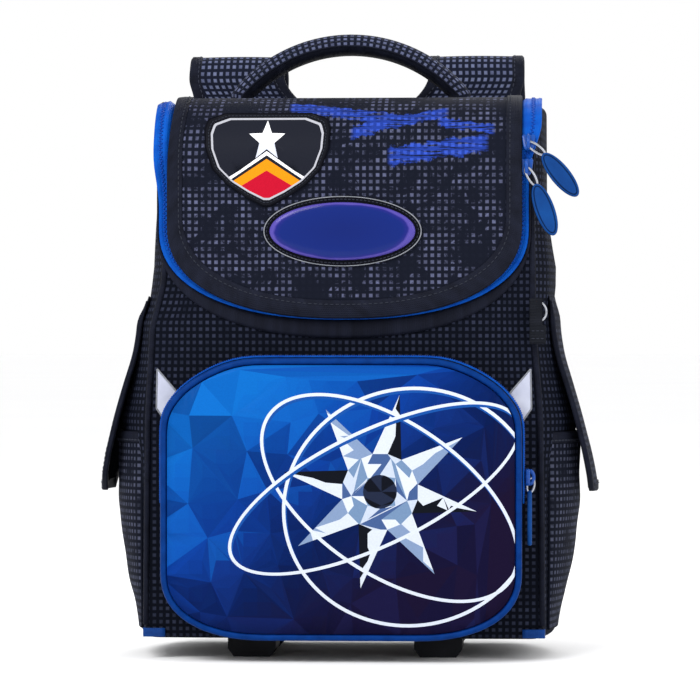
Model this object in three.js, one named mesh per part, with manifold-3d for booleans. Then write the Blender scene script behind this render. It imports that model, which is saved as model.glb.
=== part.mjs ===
// A rigid school backpack with a U-shaped zipped lid, a front pocket, two open side pockets with
// cover flaps, a carry handle, a padded back and two shoulder straps. Millimetres: X runs across
// the bag, -Y is its front, +Z is up. It stands on four feet, and the origin lies on the ground
// under the middle of the whole bag.

import * as THREE from 'three';
import { mergeVertices } from 'three/addons/utils/BufferGeometryUtils.js';
import Module from 'manifold-3d';

// Driving dimensions: the body
const clearance = 0.3;
const bodyHeight = 352;
const bodyDepth = 150;
const frontWidthBase = 263;
const frontWidthTop = 256;
const backWidth = 256;
const sideBulge = 10;
const frontCrown = 2;
const wall = 3;
const frontCornerRadius = 3.5;
const backCornerRadius = 22;
const topFrontRadius = 42;
const topBackRadius = 14;
const topSideRadius = 5;
const baseRadius = 6;
const pipingRadius = 2;

// Feet
const footHeight = 13;
const footWidth = 32;
const footLength = 36;
const footSpacingX = 124;
const footSpacingY = 84;
const footChamfer = 4;

// Lid and the zip round it
const lidWidth = 231;
const lidBottom = 224.5;
const lidCornerHeight = 62;
const lidThickness = 3;
const lidStandoff = 5;
const lidHingeY = -6;
const lidRampLength = 24;
const bindingWidth = 9;
const bindingWall = 0.9;
const openingWidth = 214;
const openingBottom = 236;
const zipTapeWidth = 13;
const zipTapeThickness = 3;
const zipShow = 9;
const zipChainHeight = 1.2;
const zipRise = 3.5;
const openingBandWidth = 9;
const openingBandSide = 1;
const openingBandThickness = 1.6;
const sliderLength = 11;
const sliderWidth = 9;
const sliderHeight = 5;
const pullLength = 36;
const pullWidth = 13;
const pullThickness = 3;

// Badge and shield on the lid
const badgeWidth = 104;
const badgeHeight = 46;
const badgeCentreZ = 282;
const badgeThickness = 1.8;
const badgeRim = 4;
const badgeDomeHeight = 3.2;
const shieldWidth = 84;
const shieldHeight = 60;
const shieldCentreX = -50;
const shieldBottom = 298;
const shieldThickness = 2;

// Front pocket
const pocketWidth = 236;
const pocketHeight = 186;
const pocketBase = 14.5;
const pocketDepth = 34;
const pocketDome = 5;
const pocketWall = 2.5;
const pocketCornerWidth = 70;
const pocketCornerHeight = 44;
const pocketPipingRadius = 2.2;
const pocketZipWidth = 11;
const pocketZipThickness = 2;
const pocketZipEndZ = 104;
const pocketSliderZ = 121;

// Side pockets and their cover flaps
const sidePocketHeight = 130;
const sidePocketBase = 19;
const sidePocketStandoff = 15.5;
const sidePocketWall = 2;
const sideFlapHingeZ = 240;
const sideFlapDrop = 130;
const sideFlapFlare = 28;
const sideFlapLength = 92;
const sideFlapThickness = 4;
const sideFlapBow = 3;

// Small fittings on the front
const reflectorThickness = 0.8;
const cornerTabWidth = 15;
const cornerTabHeight = 6;
const cornerTabThickness = 3;
const loopWidth = 11;
const loopThickness = 4.6;
const loopLength = 30;
const loopTopZ = 238;
const ringWire = 1.2;
const ringReach = 8;
const ringHeight = 13;

// Handle
const handleSpan = 154;
const handlePeakZ = 411.5;
const handleEndRise = 10;
const handleThickness = 14.5;
const handleWidth = 28;
const handleY = 12;

// Back panel and straps
const panelWidth = 226;
const panelHeight = 280;
const panelBase = 66;
const panelThickness = 5;
const padHeight = 9;
const strapThickness = 8;
const strapWidth = 68;
const strapCentreX = 84;
const strapAnchorZ = 352;
const strapPeakZ = 412;
const strapBendRadius = 15;
const strapEndZ = 160;
const webbingWidth = 25;
const webbingThickness = 1.6;
const lockWidth = 36;
const lockHeight = 30;
const lockThickness = 5;
const lockSlot = 6;
const lockBar = 6;
const anchorZ = 40;
const anchorWidth = 34;
const anchorHeight = 26;
const anchorThickness = 3;
const tailLength = 48;

// Levels worked out from the sizes
const bodyBase = footHeight + clearance;
const bodyTop = bodyBase + bodyHeight;
const bodyFrontY = -bodyDepth / 2;
const bodyBackY = bodyDepth / 2;
const archStart = bodyTop - topFrontRadius;
const archCentreY = bodyFrontY + topFrontRadius;
const lidHingeS = archStart + (topFrontRadius * Math.PI) / 2 + (lidHingeY - archCentreY);
const pocketTop = pocketBase + pocketHeight;
const archSteps = 6;
const cornerSteps = 7;
const cornerPower = 2.3;

const wasm = await Module();
wasm.setup();

const V = (x, y, z) => new THREE.Vector3(x, y, z);
const mix = THREE.MathUtils.lerp;
const range = (count) => Array.from({ length: count }, (_, i) => i);

// Reads a table of [share, value] rows at any share between its first and last row
function readTable(table, share) {
  const last = table.length - 1;
  if (share <= table[0][0]) return table[0][1];
  if (share >= table[last][0]) return table[last][1];
  const k = table.findIndex((row) => row[0] >= share);
  const [s0, v0] = table[k - 1];
  const [s1, v1] = table[k];
  return mix(v0, v1, (share - s0) / (s1 - s0));
}

// Closed bodies from rings of points

function closedMesh(points, faces) {
  const geometry = new THREE.BufferGeometry().setFromPoints(points);
  let volume = 0;
  for (const [a, b, c] of faces) {
    volume += points[a].dot(points[b].clone().cross(points[c]));
  }
  const index = volume > 0 ? faces.flat() : faces.flatMap(([a, b, c]) => [a, c, b]);
  geometry.setIndex(index);
  return geometry;
}

// Skins a row of rings that have as many points each. caps lists the triangles that close one end
// ring, by the ring's own point numbers. Without it each end gets a fan about its middle.
function loft(rings, caps = null) {
  const size = rings[0].length;
  const points = rings.flat();
  const faces = [];
  for (let r = 0; r < rings.length - 1; r++) {
    for (let k = 0; k < size; k++) {
      const a = r * size + k;
      const b = r * size + ((k + 1) % size);
      faces.push([a, b, b + size], [a, b + size, a + size]);
    }
  }
  const lastRing = (rings.length - 1) * size;
  if (caps) {
    for (const [a, b, c] of caps) {
      faces.push([c, b, a], [a + lastRing, b + lastRing, c + lastRing]);
    }
  } else {
    for (const start of [0, lastRing]) {
      const middle = points.length;
      const ring = points.slice(start, start + size);
      points.push(ring.reduce((sum, p) => sum.add(p), V(0, 0, 0)).divideScalar(size));
      for (let k = 0; k < size; k++) {
        const a = start + k;
        const b = start + ((k + 1) % size);
        faces.push(start === 0 ? [b, a, middle] : [a, b, middle]);
      }
    }
  }
  return closedMesh(points, faces);
}

// Skins rings that close on themselves, such as the piping round a panel
function loopLoft(rings) {
  const size = rings[0].length;
  const faces = [];
  for (let r = 0; r < rings.length; r++) {
    const next = (r + 1) % rings.length;
    for (let k = 0; k < size; k++) {
      const k1 = (k + 1) % size;
      faces.push([r * size + k, r * size + k1, next * size + k1]);
      faces.push([r * size + k, next * size + k1, next * size + k]);
    }
  }
  return closedMesh(rings.flat(), faces);
}

// A sheet with a front and a back face: place(i, j, side) gives a point, side 0 or 1
function sheet(rows, columns, place) {
  const rings = range(rows).map((i) => [
    ...range(columns).map((j) => place(i, j, 1)),
    ...range(columns).map((j) => place(i, columns - 1 - j, 0)),
  ]);
  const caps = [];
  for (let j = 0; j < columns - 1; j++) {
    const low = 2 * columns - 1 - j;
    caps.push([j, j + 1, low - 1], [j, low - 1, low]);
  }
  return loft(rings, caps);
}

// A band whose section is a flat outline: section rows are [across, out] and place(i, across, out)
// puts them at step i of its route
function band(steps, section, place) {
  const outline = section.map(([across, out]) => new THREE.Vector2(across, out));
  const caps = THREE.ShapeUtils.triangulateShape(outline, []).map((t) => [...t].sort((a, b) => a - b));
  const rings = range(steps).map((i) => section.map(([across, out]) => place(i, across, out)));
  return loft(rings, caps);
}

// The rings of a round cord whose route lies in a plane square to normal
function cordRings(route, normal, radius, sides, closed = false) {
  const count = route.length;
  return range(count).map((i) => {
    const before = route[closed ? (i + count - 1) % count : Math.max(i - 1, 0)];
    const after = route[closed ? (i + 1) % count : Math.min(i + 1, count - 1)];
    const up = after.clone().sub(before).normalize().cross(normal);
    return range(sides).map((k) => {
      const turn = ((k + 0.5) / sides) * 2 * Math.PI;
      return route[i].clone()
        .addScaledVector(normal, radius * Math.cos(turn))
        .addScaledVector(up, radius * Math.sin(turn));
    });
  });
}

// Joins and cuts

function asSolid(geometry) {
  const plain = geometry.clone();
  plain.deleteAttribute('normal');
  plain.deleteAttribute('uv');
  const merged = mergeVertices(plain, 1e-4);
  return new wasm.Manifold(new wasm.Mesh({
    numProp: 3,
    vertProperties: new Float32Array(merged.attributes.position.array),
    triVerts: new Uint32Array(merged.index.array),
  }));
}

function asGeometry(solid) {
  const mesh = solid.getMesh();
  const geometry = new THREE.BufferGeometry();
  geometry.setAttribute('position', new THREE.BufferAttribute(mesh.vertProperties, 3));
  geometry.setIndex(new THREE.BufferAttribute(mesh.triVerts, 1));
  return geometry;
}

function cut(geometry, ...tools) {
  return asGeometry(tools.reduce((solid, tool) => solid.subtract(asSolid(tool)), asSolid(geometry)));
}

function join(...geometries) {
  return asGeometry(geometries.map(asSolid).reduce((a, b) => a.add(b)));
}

function block(width, depth, height, x, y, z) {
  return new THREE.BoxGeometry(width, depth, height).translate(x, y, z);
}

// Body surface

const crownAt = (x) => frontCrown * (1 - (x / (frontWidthTop / 2)) ** 2);
const shareUp = (z) => (z - bodyBase) / bodyHeight;
const frontHalfAt = (z) => mix(frontWidthBase, frontWidthTop, shareUp(z)) / 2;
const sideFrontY = bodyFrontY + frontCornerRadius;
const sideBackY = bodyBackY - backCornerRadius;
const sideSteps = 6;

// Half the body's width at a depth and a height, on the facets of the body itself
function sideAt(y, z) {
  const t = THREE.MathUtils.clamp((y - sideFrontY) / (sideBackY - sideFrontY), 0, 1);
  const k = Math.min(Math.floor(t * sideSteps), sideSteps - 1);
  const bulge = (s) => mix(frontHalfAt(z), backWidth / 2, s) + sideBulge * 4 * s * (1 - s);
  return mix(bulge(k / sideSteps), bulge((k + 1) / sideSteps), t * sideSteps - k);
}

// How far a rounded edge draws in at a distance from the flat it meets
function drawIn(radius, distance) {
  if (distance >= radius) return 0;
  return radius - Math.sqrt(Math.max(radius ** 2 - (radius - distance) ** 2, 0));
}

// One level outline of the body, drawn in by inset from its outer face
function bodyRing(z, inset) {
  const below = bodyTop - inset - z;
  const above = z - (bodyBase + inset);
  const baseIn = drawIn(Math.max(baseRadius - inset, 1), above);
  const sideIn = inset + baseIn + drawIn(Math.max(topSideRadius - inset, 1), below);
  const backY = bodyBackY - inset - baseIn - drawIn(topBackRadius - inset, below);
  const arch = topFrontRadius - inset;
  const rise = Math.min(Math.max(z - archStart, 0) / arch, 1);
  const lean = Math.sqrt(1 - rise * rise);
  const frontY = (x) => archCentreY - (arch + crownAt(x)) * lean + baseIn;
  const frontHalf = frontHalfAt(z) - sideIn;
  const backHalf = backWidth / 2 - sideIn;
  const frontRadius = Math.max(frontCornerRadius - inset, 1);
  const backRadius = backCornerRadius - inset;
  const flat = frontHalf - frontRadius;
  const cornerY = frontY(flat) + frontRadius;
  const right = [];
  for (const share of [0, 0.25, 0.5, 0.75, 1]) {
    right.push(V(flat * share, frontY(flat * share), z));
  }
  for (const turn of [45]) {
    const angle = THREE.MathUtils.degToRad(turn);
    right.push(V(flat + frontRadius * Math.sin(angle), cornerY - frontRadius * Math.cos(angle), z));
  }
  for (const k of range(sideSteps + 1)) {
    const y = mix(Math.max(cornerY, sideFrontY), backY - backRadius, k / sideSteps);
    const sideY = mix(sideFrontY, sideBackY, k / sideSteps);
    right.push(V(sideAt(sideY, z) - sideIn, k === 0 ? cornerY : y, z));
  }
  for (const turn of [30, 60, 90]) {
    const angle = THREE.MathUtils.degToRad(turn);
    const reach = backHalf - backRadius;
    right.push(V(reach + backRadius * Math.cos(angle), backY - backRadius * (1 - Math.sin(angle)), z));
  }
  right.push(V(0, backY, z));
  const left = right.slice(1, -1).reverse().map((p) => V(-p.x, p.y, p.z));
  return [...right, ...left];
}

const archAngles = range(archSteps + 1).map((k) => (k / archSteps) * (Math.PI / 2));

function bodySolid(inset) {
  const round = Math.max(baseRadius - inset, 1);
  const base = bodyBase + inset;
  const levels = [base, base + round * 0.3, base + round, mix(base, archStart, 0.5)];
  for (const angle of archAngles) {
    levels.push(archStart + (topFrontRadius - inset) * Math.sin(angle));
  }
  return loft(levels.map((z) => bodyRing(z, inset)));
}

// A place on the front and top of the body, as if unrolled: across, up the front and over the top
// arch, and out from the surface
function onFace(across, along, out) {
  const crown = crownAt(across);
  if (along <= archStart) return V(across, bodyFrontY - crown - out, along);
  const angle = Math.min((along - archStart) / topFrontRadius, Math.PI / 2);
  const lean = Math.cos(angle);
  const beyond = Math.max(along - archStart - (topFrontRadius * Math.PI) / 2, 0);
  const reach = topFrontRadius + out;
  return V(across, archCentreY - (reach + crown) * lean + beyond, archStart + reach * Math.sin(angle));
}

// The right half of a U on the front face, from its top end down to the middle of its foot
function uHalf(halfWidth, bottom, cornerHeight, topEnd) {
  const rows = [{ across: halfWidth, along: topEnd }];
  for (const angle of [...archAngles].reverse()) {
    const along = archStart + angle * topFrontRadius;
    if (along < topEnd - 1) rows.push({ across: halfWidth, along });
  }
  for (const k of range(cornerSteps + 1)) {
    const turn = (k / (cornerSteps + 0.7)) * (Math.PI / 2);
    rows.push({
      across: halfWidth * Math.cos(turn) ** (2 / cornerPower),
      along: bottom + cornerHeight * (1 - Math.sin(turn) ** (2 / cornerPower)),
    });
  }
  return rows;
}

const wholeU = (half) => [...half, ...[...half].reverse().map((p) => ({ ...p, across: -p.across }))];

// A band between two U lines; section rows are [share from inner to outer line, height out]
function uBand(inner, outer, section, lift = () => 0) {
  const inside = wholeU(inner);
  const outside = wholeU(outer);
  return band(inside.length, section, (i, share, out) => {
    const across = mix(inside[i].across, outside[i].across, share);
    const along = mix(inside[i].along, outside[i].along, share);
    return onFace(across, along, out + lift(along));
  });
}

// Near its hinge the lid comes down to the top panel
function lidDrop(along) {
  const share = THREE.MathUtils.clamp((lidHingeS - along) / lidRampLength, 0, 1);
  return -(lidStandoff - clearance) * (1 - share * share * (3 - 2 * share));
}

const bandEndS = lidHingeS - lidRampLength - 2;
const zipOuterHalf = lidWidth / 2 + zipShow;
const lidHalf = uHalf(lidWidth / 2, lidBottom, lidCornerHeight, bandEndS);
const lidInnerHalf = uHalf(
  lidWidth / 2 - bindingWidth, lidBottom + bindingWidth + 2, lidCornerHeight - 4, bandEndS,
);

function makeBody() {
  const shell = cut(bodySolid(0), bodySolid(wall));
  const mouth = uHalf(openingWidth / 2, openingBottom, lidCornerHeight - 6, bandEndS - 4);
  const inside = -(wall + 4);
  const opening = sheet(mouth.length, 5, (i, j, side) => {
    const across = mouth[i].across * (j / 2 - 1);
    return onFace(across, mouth[i].along, side ? 8 : inside);
  });
  return cut(shell, opening);
}

function makeLid() {
  const inset = (bindingWall + 2 * clearance) / bindingWidth;
  const edge = lidHalf.map((p, i) => ({
    across: mix(p.across, lidInnerHalf[i].across, inset),
    along: mix(p.along, lidInnerHalf[i].along, inset),
  }));
  const ramp = [0, 0.34, 0.67].map((share) => (
    { across: edge[0].across, along: lidHingeS - share * lidRampLength }
  ));
  const rows = [...ramp, ...edge];
  const columns = 9;
  return sheet(rows.length, columns, (i, j, side) => {
    const across = rows[i].across * ((2 * j) / (columns - 1) - 1);
    return onFace(across, rows[i].along, lidStandoff + lidDrop(rows[i].along) + side * lidThickness);
  });
}

// The binding folds round the lid's edge, so its section is a C
function makeLidBinding() {
  const back = lidStandoff - clearance;
  const front = lidStandoff + lidThickness + clearance;
  const rim = 1 - bindingWall / bindingWidth;
  const section = [
    [0, back - bindingWall], [1, back - bindingWall], [1, front + bindingWall],
    [0, front + bindingWall], [0, front], [rim, front], [rim, back], [0, back],
  ];
  return uBand(lidInnerHalf, lidHalf, section);
}

// Zip round the mouth: tape under the lid's edge, with its chain as a ridge beside the lid
function makeLidZip() {
  const inner = uHalf(
    zipOuterHalf - zipTapeWidth, lidBottom + zipRise + zipTapeWidth, lidCornerHeight - 8, bandEndS,
  );
  const outer = uHalf(zipOuterHalf, lidBottom + zipRise, lidCornerHeight - 4, bandEndS);
  const high = clearance + zipTapeThickness;
  const chain = 1 - 4 / zipTapeWidth;
  const section = [
    [0, clearance], [1, clearance], [1, high - zipChainHeight], [chain + 0.1, high],
    [chain - 0.1, high], [chain - 0.2, high - zipChainHeight], [0, high - zipChainHeight],
  ];
  return uBand(inner, outer, section);
}

// Black band round the body's mouth, below the zip
function makeOpeningBand() {
  const sideInner = zipOuterHalf + clearance;
  const foot = lidBottom + zipRise - clearance;
  const top = archStart - 4;
  const inner = uHalf(sideInner, foot, lidCornerHeight - 4, top);
  const outer = uHalf(sideInner + openingBandSide, foot - openingBandWidth, lidCornerHeight + 4, top);
  const section = [
    [0, clearance], [1, clearance], [1, clearance + openingBandThickness * 0.6],
    [0.5, clearance + openingBandThickness], [0, clearance + openingBandThickness * 0.6],
  ];
  return uBand(inner, outer, section);
}


// Black piping along the side edge: up the front corner, over the arch and back along the top
function makeEdgePiping(side) {
  const reach = (frontCornerRadius + pipingRadius + clearance) * Math.SQRT1_2;
  const half = (z) => frontHalfAt(z) - frontCornerRadius + reach;
  const forward = reach - frontCornerRadius;
  const route = [];
  for (const share of [0, 0.25, 0.5, 0.75, 1]) {
    const z = mix(cornerTabTop + pipingRadius, archStart, share);
    route.push(V(half(z), bodyFrontY - forward, z));
  }
  for (const angle of archAngles.slice(1)) {
    const out = topFrontRadius + forward + clearance;
    const z = archStart + out * Math.sin(angle);
    route.push(V(half(archStart) + clearance, archCentreY - out * Math.cos(angle), z));
  }
  route.push(V(half(archStart) + clearance, lidHingeY, route.at(-1).z));
  const mirrored = route.map((p) => V(p.x * side, p.y, p.z));
  return cut(loft(cordRings(mirrored, V(1, 0, 0), pipingRadius, 6)), bodySolid(-clearance));
}

function makeFoot() {
  const half = footWidth / 2;
  const shape = new THREE.Shape();
  shape.moveTo(-half + footChamfer, 0);
  shape.lineTo(half - footChamfer, 0);
  shape.lineTo(half, footChamfer * 1.4);
  shape.lineTo(half, footHeight);
  shape.lineTo(-half, footHeight);
  shape.lineTo(-half, footChamfer * 1.4);
  const foot = new THREE.ExtrudeGeometry(shape, { depth: footLength, bevelEnabled: false });
  return foot.translate(0, 0, -footLength / 2).rotateX(Math.PI / 2);
}

// An oval plate on the lid's face: rows of [share of size, height out]
function faceOval(width, height, centreZ, rows) {
  const sides = 28;
  const rings = rows.map(([share, out]) => range(sides).map((k) => {
    const turn = (k / sides) * 2 * Math.PI;
    const across = (width / 2) * share * Math.cos(turn);
    return onFace(across, centreZ + (height / 2) * share * Math.sin(turn), out);
  }));
  return loft(rings);
}

const lidFace = lidStandoff + lidThickness + clearance;

function makeBadgeRim() {
  const top = lidFace + badgeThickness;
  const rows = [[1, lidFace], [1, top - 0.5], [0.985, top]];
  return faceOval(badgeWidth, badgeHeight, badgeCentreZ, rows);
}

function makeBadgeDome() {
  const base = lidFace + badgeThickness + clearance;
  const rows = [[1, 0], [1, 0.3], [0.9, 0.75], [0.65, 0.95], [0.3, 1]]
    .map(([share, rise]) => [share, base + rise * badgeDomeHeight]);
  return faceOval(badgeWidth - 2 * badgeRim, badgeHeight - 2 * badgeRim, badgeCentreZ, rows);
}

// Shield outline: share of its height from the point up, and half width at that height
const shieldOutline = [
  [0, 0.06], [0.1, 0.32], [0.24, 0.62], [0.42, 0.86], [0.62, 0.98], [0.8, 1], [0.9, 0.96], [1, 0.7],
];

function makeShield() {
  const shares = shieldOutline.map((row) => row[0]);
  const heights = archAngles.map((angle) => archStart + angle * topFrontRadius);
  const inArch = heights.map((z) => (z - shieldBottom) / shieldHeight).filter((s) => s > 0 && s < 1);
  const levels = [...new Set([...shares, ...inArch])].sort((a, b) => a - b)
    .filter((s, k, all) => k === 0 || s - all[k - 1] > 0.02 || inArch.includes(s));
  return sheet(levels.length, 5, (i, j, side) => {
    const half = (shieldWidth / 2) * readTable(shieldOutline, levels[i]);
    const across = shieldCentreX + half * (j / 2 - 1);
    return onFace(across, shieldBottom + levels[i] * shieldHeight, lidFace + side * shieldThickness);
  });
}

// Front pocket outline, drawn in by inset and scaled about the pocket's middle
function pocketOutline(inset, scale = 1) {
  const halfW = pocketWidth / 2 - inset;
  const halfH = pocketHeight / 2 - inset;
  const cornerW = pocketCornerWidth - inset;
  const cornerH = pocketCornerHeight - inset;
  const quarter = range(cornerSteps).map((k) => {
    const turn = (k / (cornerSteps - 1)) * (Math.PI / 2);
    return [
      halfW - cornerW + cornerW * Math.cos(turn) ** (2 / cornerPower),
      halfH - cornerH + cornerH * Math.sin(turn) ** (2 / cornerPower),
    ];
  });
  const back = [...quarter].reverse();
  const outline = [
    ...quarter, [0, halfH], ...back.map(([x, z]) => [-x, z]),
    ...quarter.map(([x, z]) => [-x, -z]), [0, -halfH], ...back.map(([x, z]) => [x, -z]),
  ];
  const middle = pocketBase + pocketHeight / 2;
  return outline.map(([x, z]) => ({ x: x * scale, z: middle + z * scale }));
}

const pocketFrontY = bodyFrontY - pocketDepth;
const pocketRebate = 2 * pocketPipingRadius + clearance;
const pocketRebateY = pocketFrontY + pocketRebate;
const domeShares = [1, 0.95, 0.8, 0.5, 0.2];

function makePocket() {
  const ring = (inset, y, scale = 1) => pocketOutline(inset, scale).map((p) => V(p.x, y, p.z));
  const onBody = (inset, off) => pocketOutline(inset)
    .map((p) => V(p.x, bodyFrontY - crownAt(p.x) - off, p.z));
  const dome = (inset, y) => domeShares.map((f) => ring(inset, y - pocketDome * (1 - f * f), f));
  const outer = loft([
    onBody(0, clearance), ring(0, pocketRebateY), ring(pocketRebate, pocketRebateY - 0.01),
    ...dome(pocketRebate, pocketFrontY),
  ]);
  const inset = pocketRebate + pocketWall;
  const inner = loft([
    onBody(pocketWall, -6), ring(pocketWall, pocketRebateY + pocketWall),
    ring(inset, pocketRebateY + pocketWall - 0.01), ...dome(inset, pocketFrontY + pocketWall),
  ]);
  return cut(outer, inner);
}

function makePocketPiping() {
  const inset = pocketRebate - pocketPipingRadius - clearance;
  const y = pocketRebateY - clearance - pocketPipingRadius;
  const route = pocketOutline(inset).map((p) => V(p.x, y, p.z));
  return loopLoft(cordRings(route, V(0, 1, 0), pocketPipingRadius, 7, true));
}

// Zip over the pocket's gusset, from one side over the top to the other
const pocketZipY = pocketRebateY + 3 + pocketZipWidth / 2;

function makePocketZip() {
  const upper = pocketOutline(0).filter((p) => p.z > pocketBase + pocketHeight / 2);
  const half = pocketWidth / 2;
  const route = [{ x: half, z: pocketZipEndZ }, ...upper, { x: -half, z: pocketZipEndZ }];
  const chain = clearance + pocketZipThickness;
  const tape = clearance + pocketZipThickness / 2;
  const section = [
    [-0.5, clearance], [0.5, clearance], [0.5, tape], [0.16, tape],
    [0.1, chain], [-0.1, chain], [-0.16, tape], [-0.5, tape],
  ];
  return band(route.length, section, (i, across, out) => {
    const before = route[Math.max(i - 1, 0)];
    const after = route[Math.min(i + 1, route.length - 1)];
    const run = Math.hypot(after.x - before.x, after.z - before.z);
    const x = route[i].x + (out * (after.z - before.z)) / run;
    const z = route[i].z - (out * (after.x - before.x)) / run;
    return V(x, pocketZipY + across * pocketZipWidth, z);
  });
}

// A zip slider with the link that holds its pull. It is drawn with the zip along Z and its face
// towards -Y, then stood up by frame. The link runs from the slider's face to linkEnd.
function makeSlider(centre, out, along, linkEnd) {
  const half = sliderWidth / 2;
  const long = sliderLength / 2;
  const shape = new THREE.Shape();
  shape.moveTo(-half, long);
  shape.lineTo(half, long);
  shape.lineTo(half, -long * 0.3);
  shape.lineTo(half * 0.6, -long);
  shape.lineTo(-half * 0.6, -long);
  shape.lineTo(-half, -long * 0.3);
  const plate = new THREE.ExtrudeGeometry(shape, { depth: sliderHeight * 0.6, bevelEnabled: false });
  const across = out.clone().cross(along).negate();
  plate.applyMatrix4(new THREE.Matrix4().makeBasis(across, along, out));
  plate.translate(centre.x, centre.y, centre.z);
  const start = centre.clone().addScaledVector(out, sliderHeight * 0.45);
  const way = linkEnd.clone().sub(start);
  const link = new THREE.BoxGeometry(3, 1.6, way.length());
  const depth = out.clone().addScaledVector(way.clone().normalize(), -out.dot(way.clone().normalize()));
  const y = depth.normalize();
  const z = way.clone().normalize();
  link.applyMatrix4(new THREE.Matrix4().makeBasis(y.clone().cross(z), y, z));
  const middle = start.clone().lerp(linkEnd, 0.5);
  link.translate(middle.x, middle.y, middle.z);
  return join(plate, link);
}

// An oval rubber pull hanging from top along a direction; face is the way its broad side looks
function makePull(top, along, face, length, width) {
  const sides = 18;
  const rows = [[0.86, -0.5], [1, -0.25], [1, 0.25], [0.86, 0.5]];
  const across = along.clone().cross(face).normalize();
  const centre = top.clone().addScaledVector(along, length / 2);
  return loft(rows.map(([share, out]) => range(sides).map((k) => {
    const turn = (k / sides) * 2 * Math.PI;
    return centre.clone()
      .addScaledVector(along, (length / 2) * share * Math.cos(turn))
      .addScaledVector(across, (width / 2) * share * Math.sin(turn))
      .addScaledVector(face, out * pullThickness);
  })));
}

// Side pocket: a sheet that leaves the side wall and gapes at the top.
// Rows are [share of height, share of stand-off].
const sidePocketRise = [[0, 0], [0.115, 0.19], [0.27, 0.55], [0.45, 0.82], [0.64, 1], [1, 1]];

function makeSidePocket(side) {
  const columns = 2 * sideSteps - 1;
  return sheet(sidePocketRise.length, columns, (i, j, face) => {
    const [share, rise] = sidePocketRise[i];
    const z = sidePocketBase + share * sidePocketHeight;
    const y = mix(sideFrontY, sideBackY, (j + 1) / (2 * sideSteps));
    const gape = Math.sin((Math.PI * j) / (columns - 1)) ** 0.6;
    const out = clearance + sidePocketStandoff * rise * (gape || 0) + face * sidePocketWall;
    return V(side * (sideAt(y, z) + out), y, z);
  });
}

// Cover flap over each side pocket, hinged on the side wall and standing off at its lower end.
// Rows are [share of drop, share of flare, share of length].
const sideFlapRows = [
  [0, 0, 1], [0.18, 0.03, 1], [0.31, 0.14, 1], [0.43, 0.32, 1], [0.62, 0.6, 1], [0.8, 0.83, 0.96],
  [0.92, 0.95, 0.82], [1, 1, 0.5],
];

function makeSideFlap(side) {
  const columns = 9;
  const middleY = (sideFrontY + sideBackY) / 2 + 4;
  return sheet(sideFlapRows.length, columns, (i, j, face) => {
    const [drop, flare, length] = sideFlapRows[i];
    const z = sideFlapHingeZ - drop * sideFlapDrop;
    const f = (2 * j) / (columns - 1) - 1;
    const y = middleY + (f * sideFlapLength * length) / 2;
    const straight = sideAt(middleY, z) - sideFlapBow * f * f;
    const base = mix(sideAt(y, z), straight, Math.min(drop * 1.4, 1)) + 2 * clearance;
    return V(side * (base + flare * sideFlapFlare + face * sideFlapThickness), y, z);
  });
}

// Slanted reflective patch beside the pocket's top corner: corners as shares of the front's half
// width and of the pocket's top
const reflectorCorners = [[[0.968, 0.955], [0.91, 0.875]], [[0.968, 0.825], [0.945, 0.775]]];

function makeReflector(side) {
  return sheet(2, 2, (i, j, face) => {
    const [across, up] = reflectorCorners[i][j];
    const x = (side * across * frontWidthTop) / 2;
    return onFace(x, up * pocketTop, clearance + face * reflectorThickness);
  });
}

// Blue fabric tab at the foot of each front corner
const cornerTabBase = bodyBase + 1;
const cornerTabTop = cornerTabBase + cornerTabHeight;

function makeCornerTab(side) {
  const outer = frontHalfAt(cornerTabBase) + cornerTabThickness / 2;
  const x = side * (outer - cornerTabWidth / 2);
  const y = bodyFrontY + baseRadius / 2 - cornerTabThickness / 2;
  const tab = block(
    cornerTabWidth, cornerTabThickness + baseRadius, cornerTabHeight, x, y, cornerTabBase + cornerTabHeight / 2,
  );
  return cut(tab, bodySolid(-clearance));
}

// Steel D-ring held in a webbing loop at the right front edge
const ringBarX = frontWidthTop / 2 + 2;
const ringY = bodyFrontY - pipingRadius - clearance - loopThickness / 2 - 1;
const ringMiddleZ = loopTopZ - ringHeight / 2 - 2 * ringWire;

function ringRoute() {
  const half = ringHeight / 2;
  const route = [V(ringBarX, ringY, ringMiddleZ - half), V(ringBarX, ringY, ringMiddleZ + half)];
  for (const turn of [60, 30, 0, -30, -60]) {
    const angle = THREE.MathUtils.degToRad(turn);
    const x = ringBarX + 1 + (ringReach - 1) * Math.cos(angle);
    route.push(V(x, ringY, ringMiddleZ + half * Math.sin(angle)));
  }
  return route;
}

function makeRing(radius) {
  return loopLoft(cordRings(ringRoute(), V(0, 1, 0), radius, 6, true));
}

function makeHangLoop() {
  const strap = block(loopWidth, loopThickness, loopLength, 0, 0, 0);
  strap.translate(ringBarX - 2, ringY, loopTopZ - loopLength / 2);
  const topCut = block(loopWidth + 2, loopThickness + 2, 8, ringBarX - 2, ringY, loopTopZ + 4);
  const notchX = ringBarX + ringWire + loopWidth / 2;
  const notch = block(loopWidth, loopThickness + 2, ringHeight + 4 * ringWire, notchX, ringY, ringMiddleZ);
  return cut(strap, topCut, notch, makeRing(ringWire + 2.7 * clearance));
}

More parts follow.
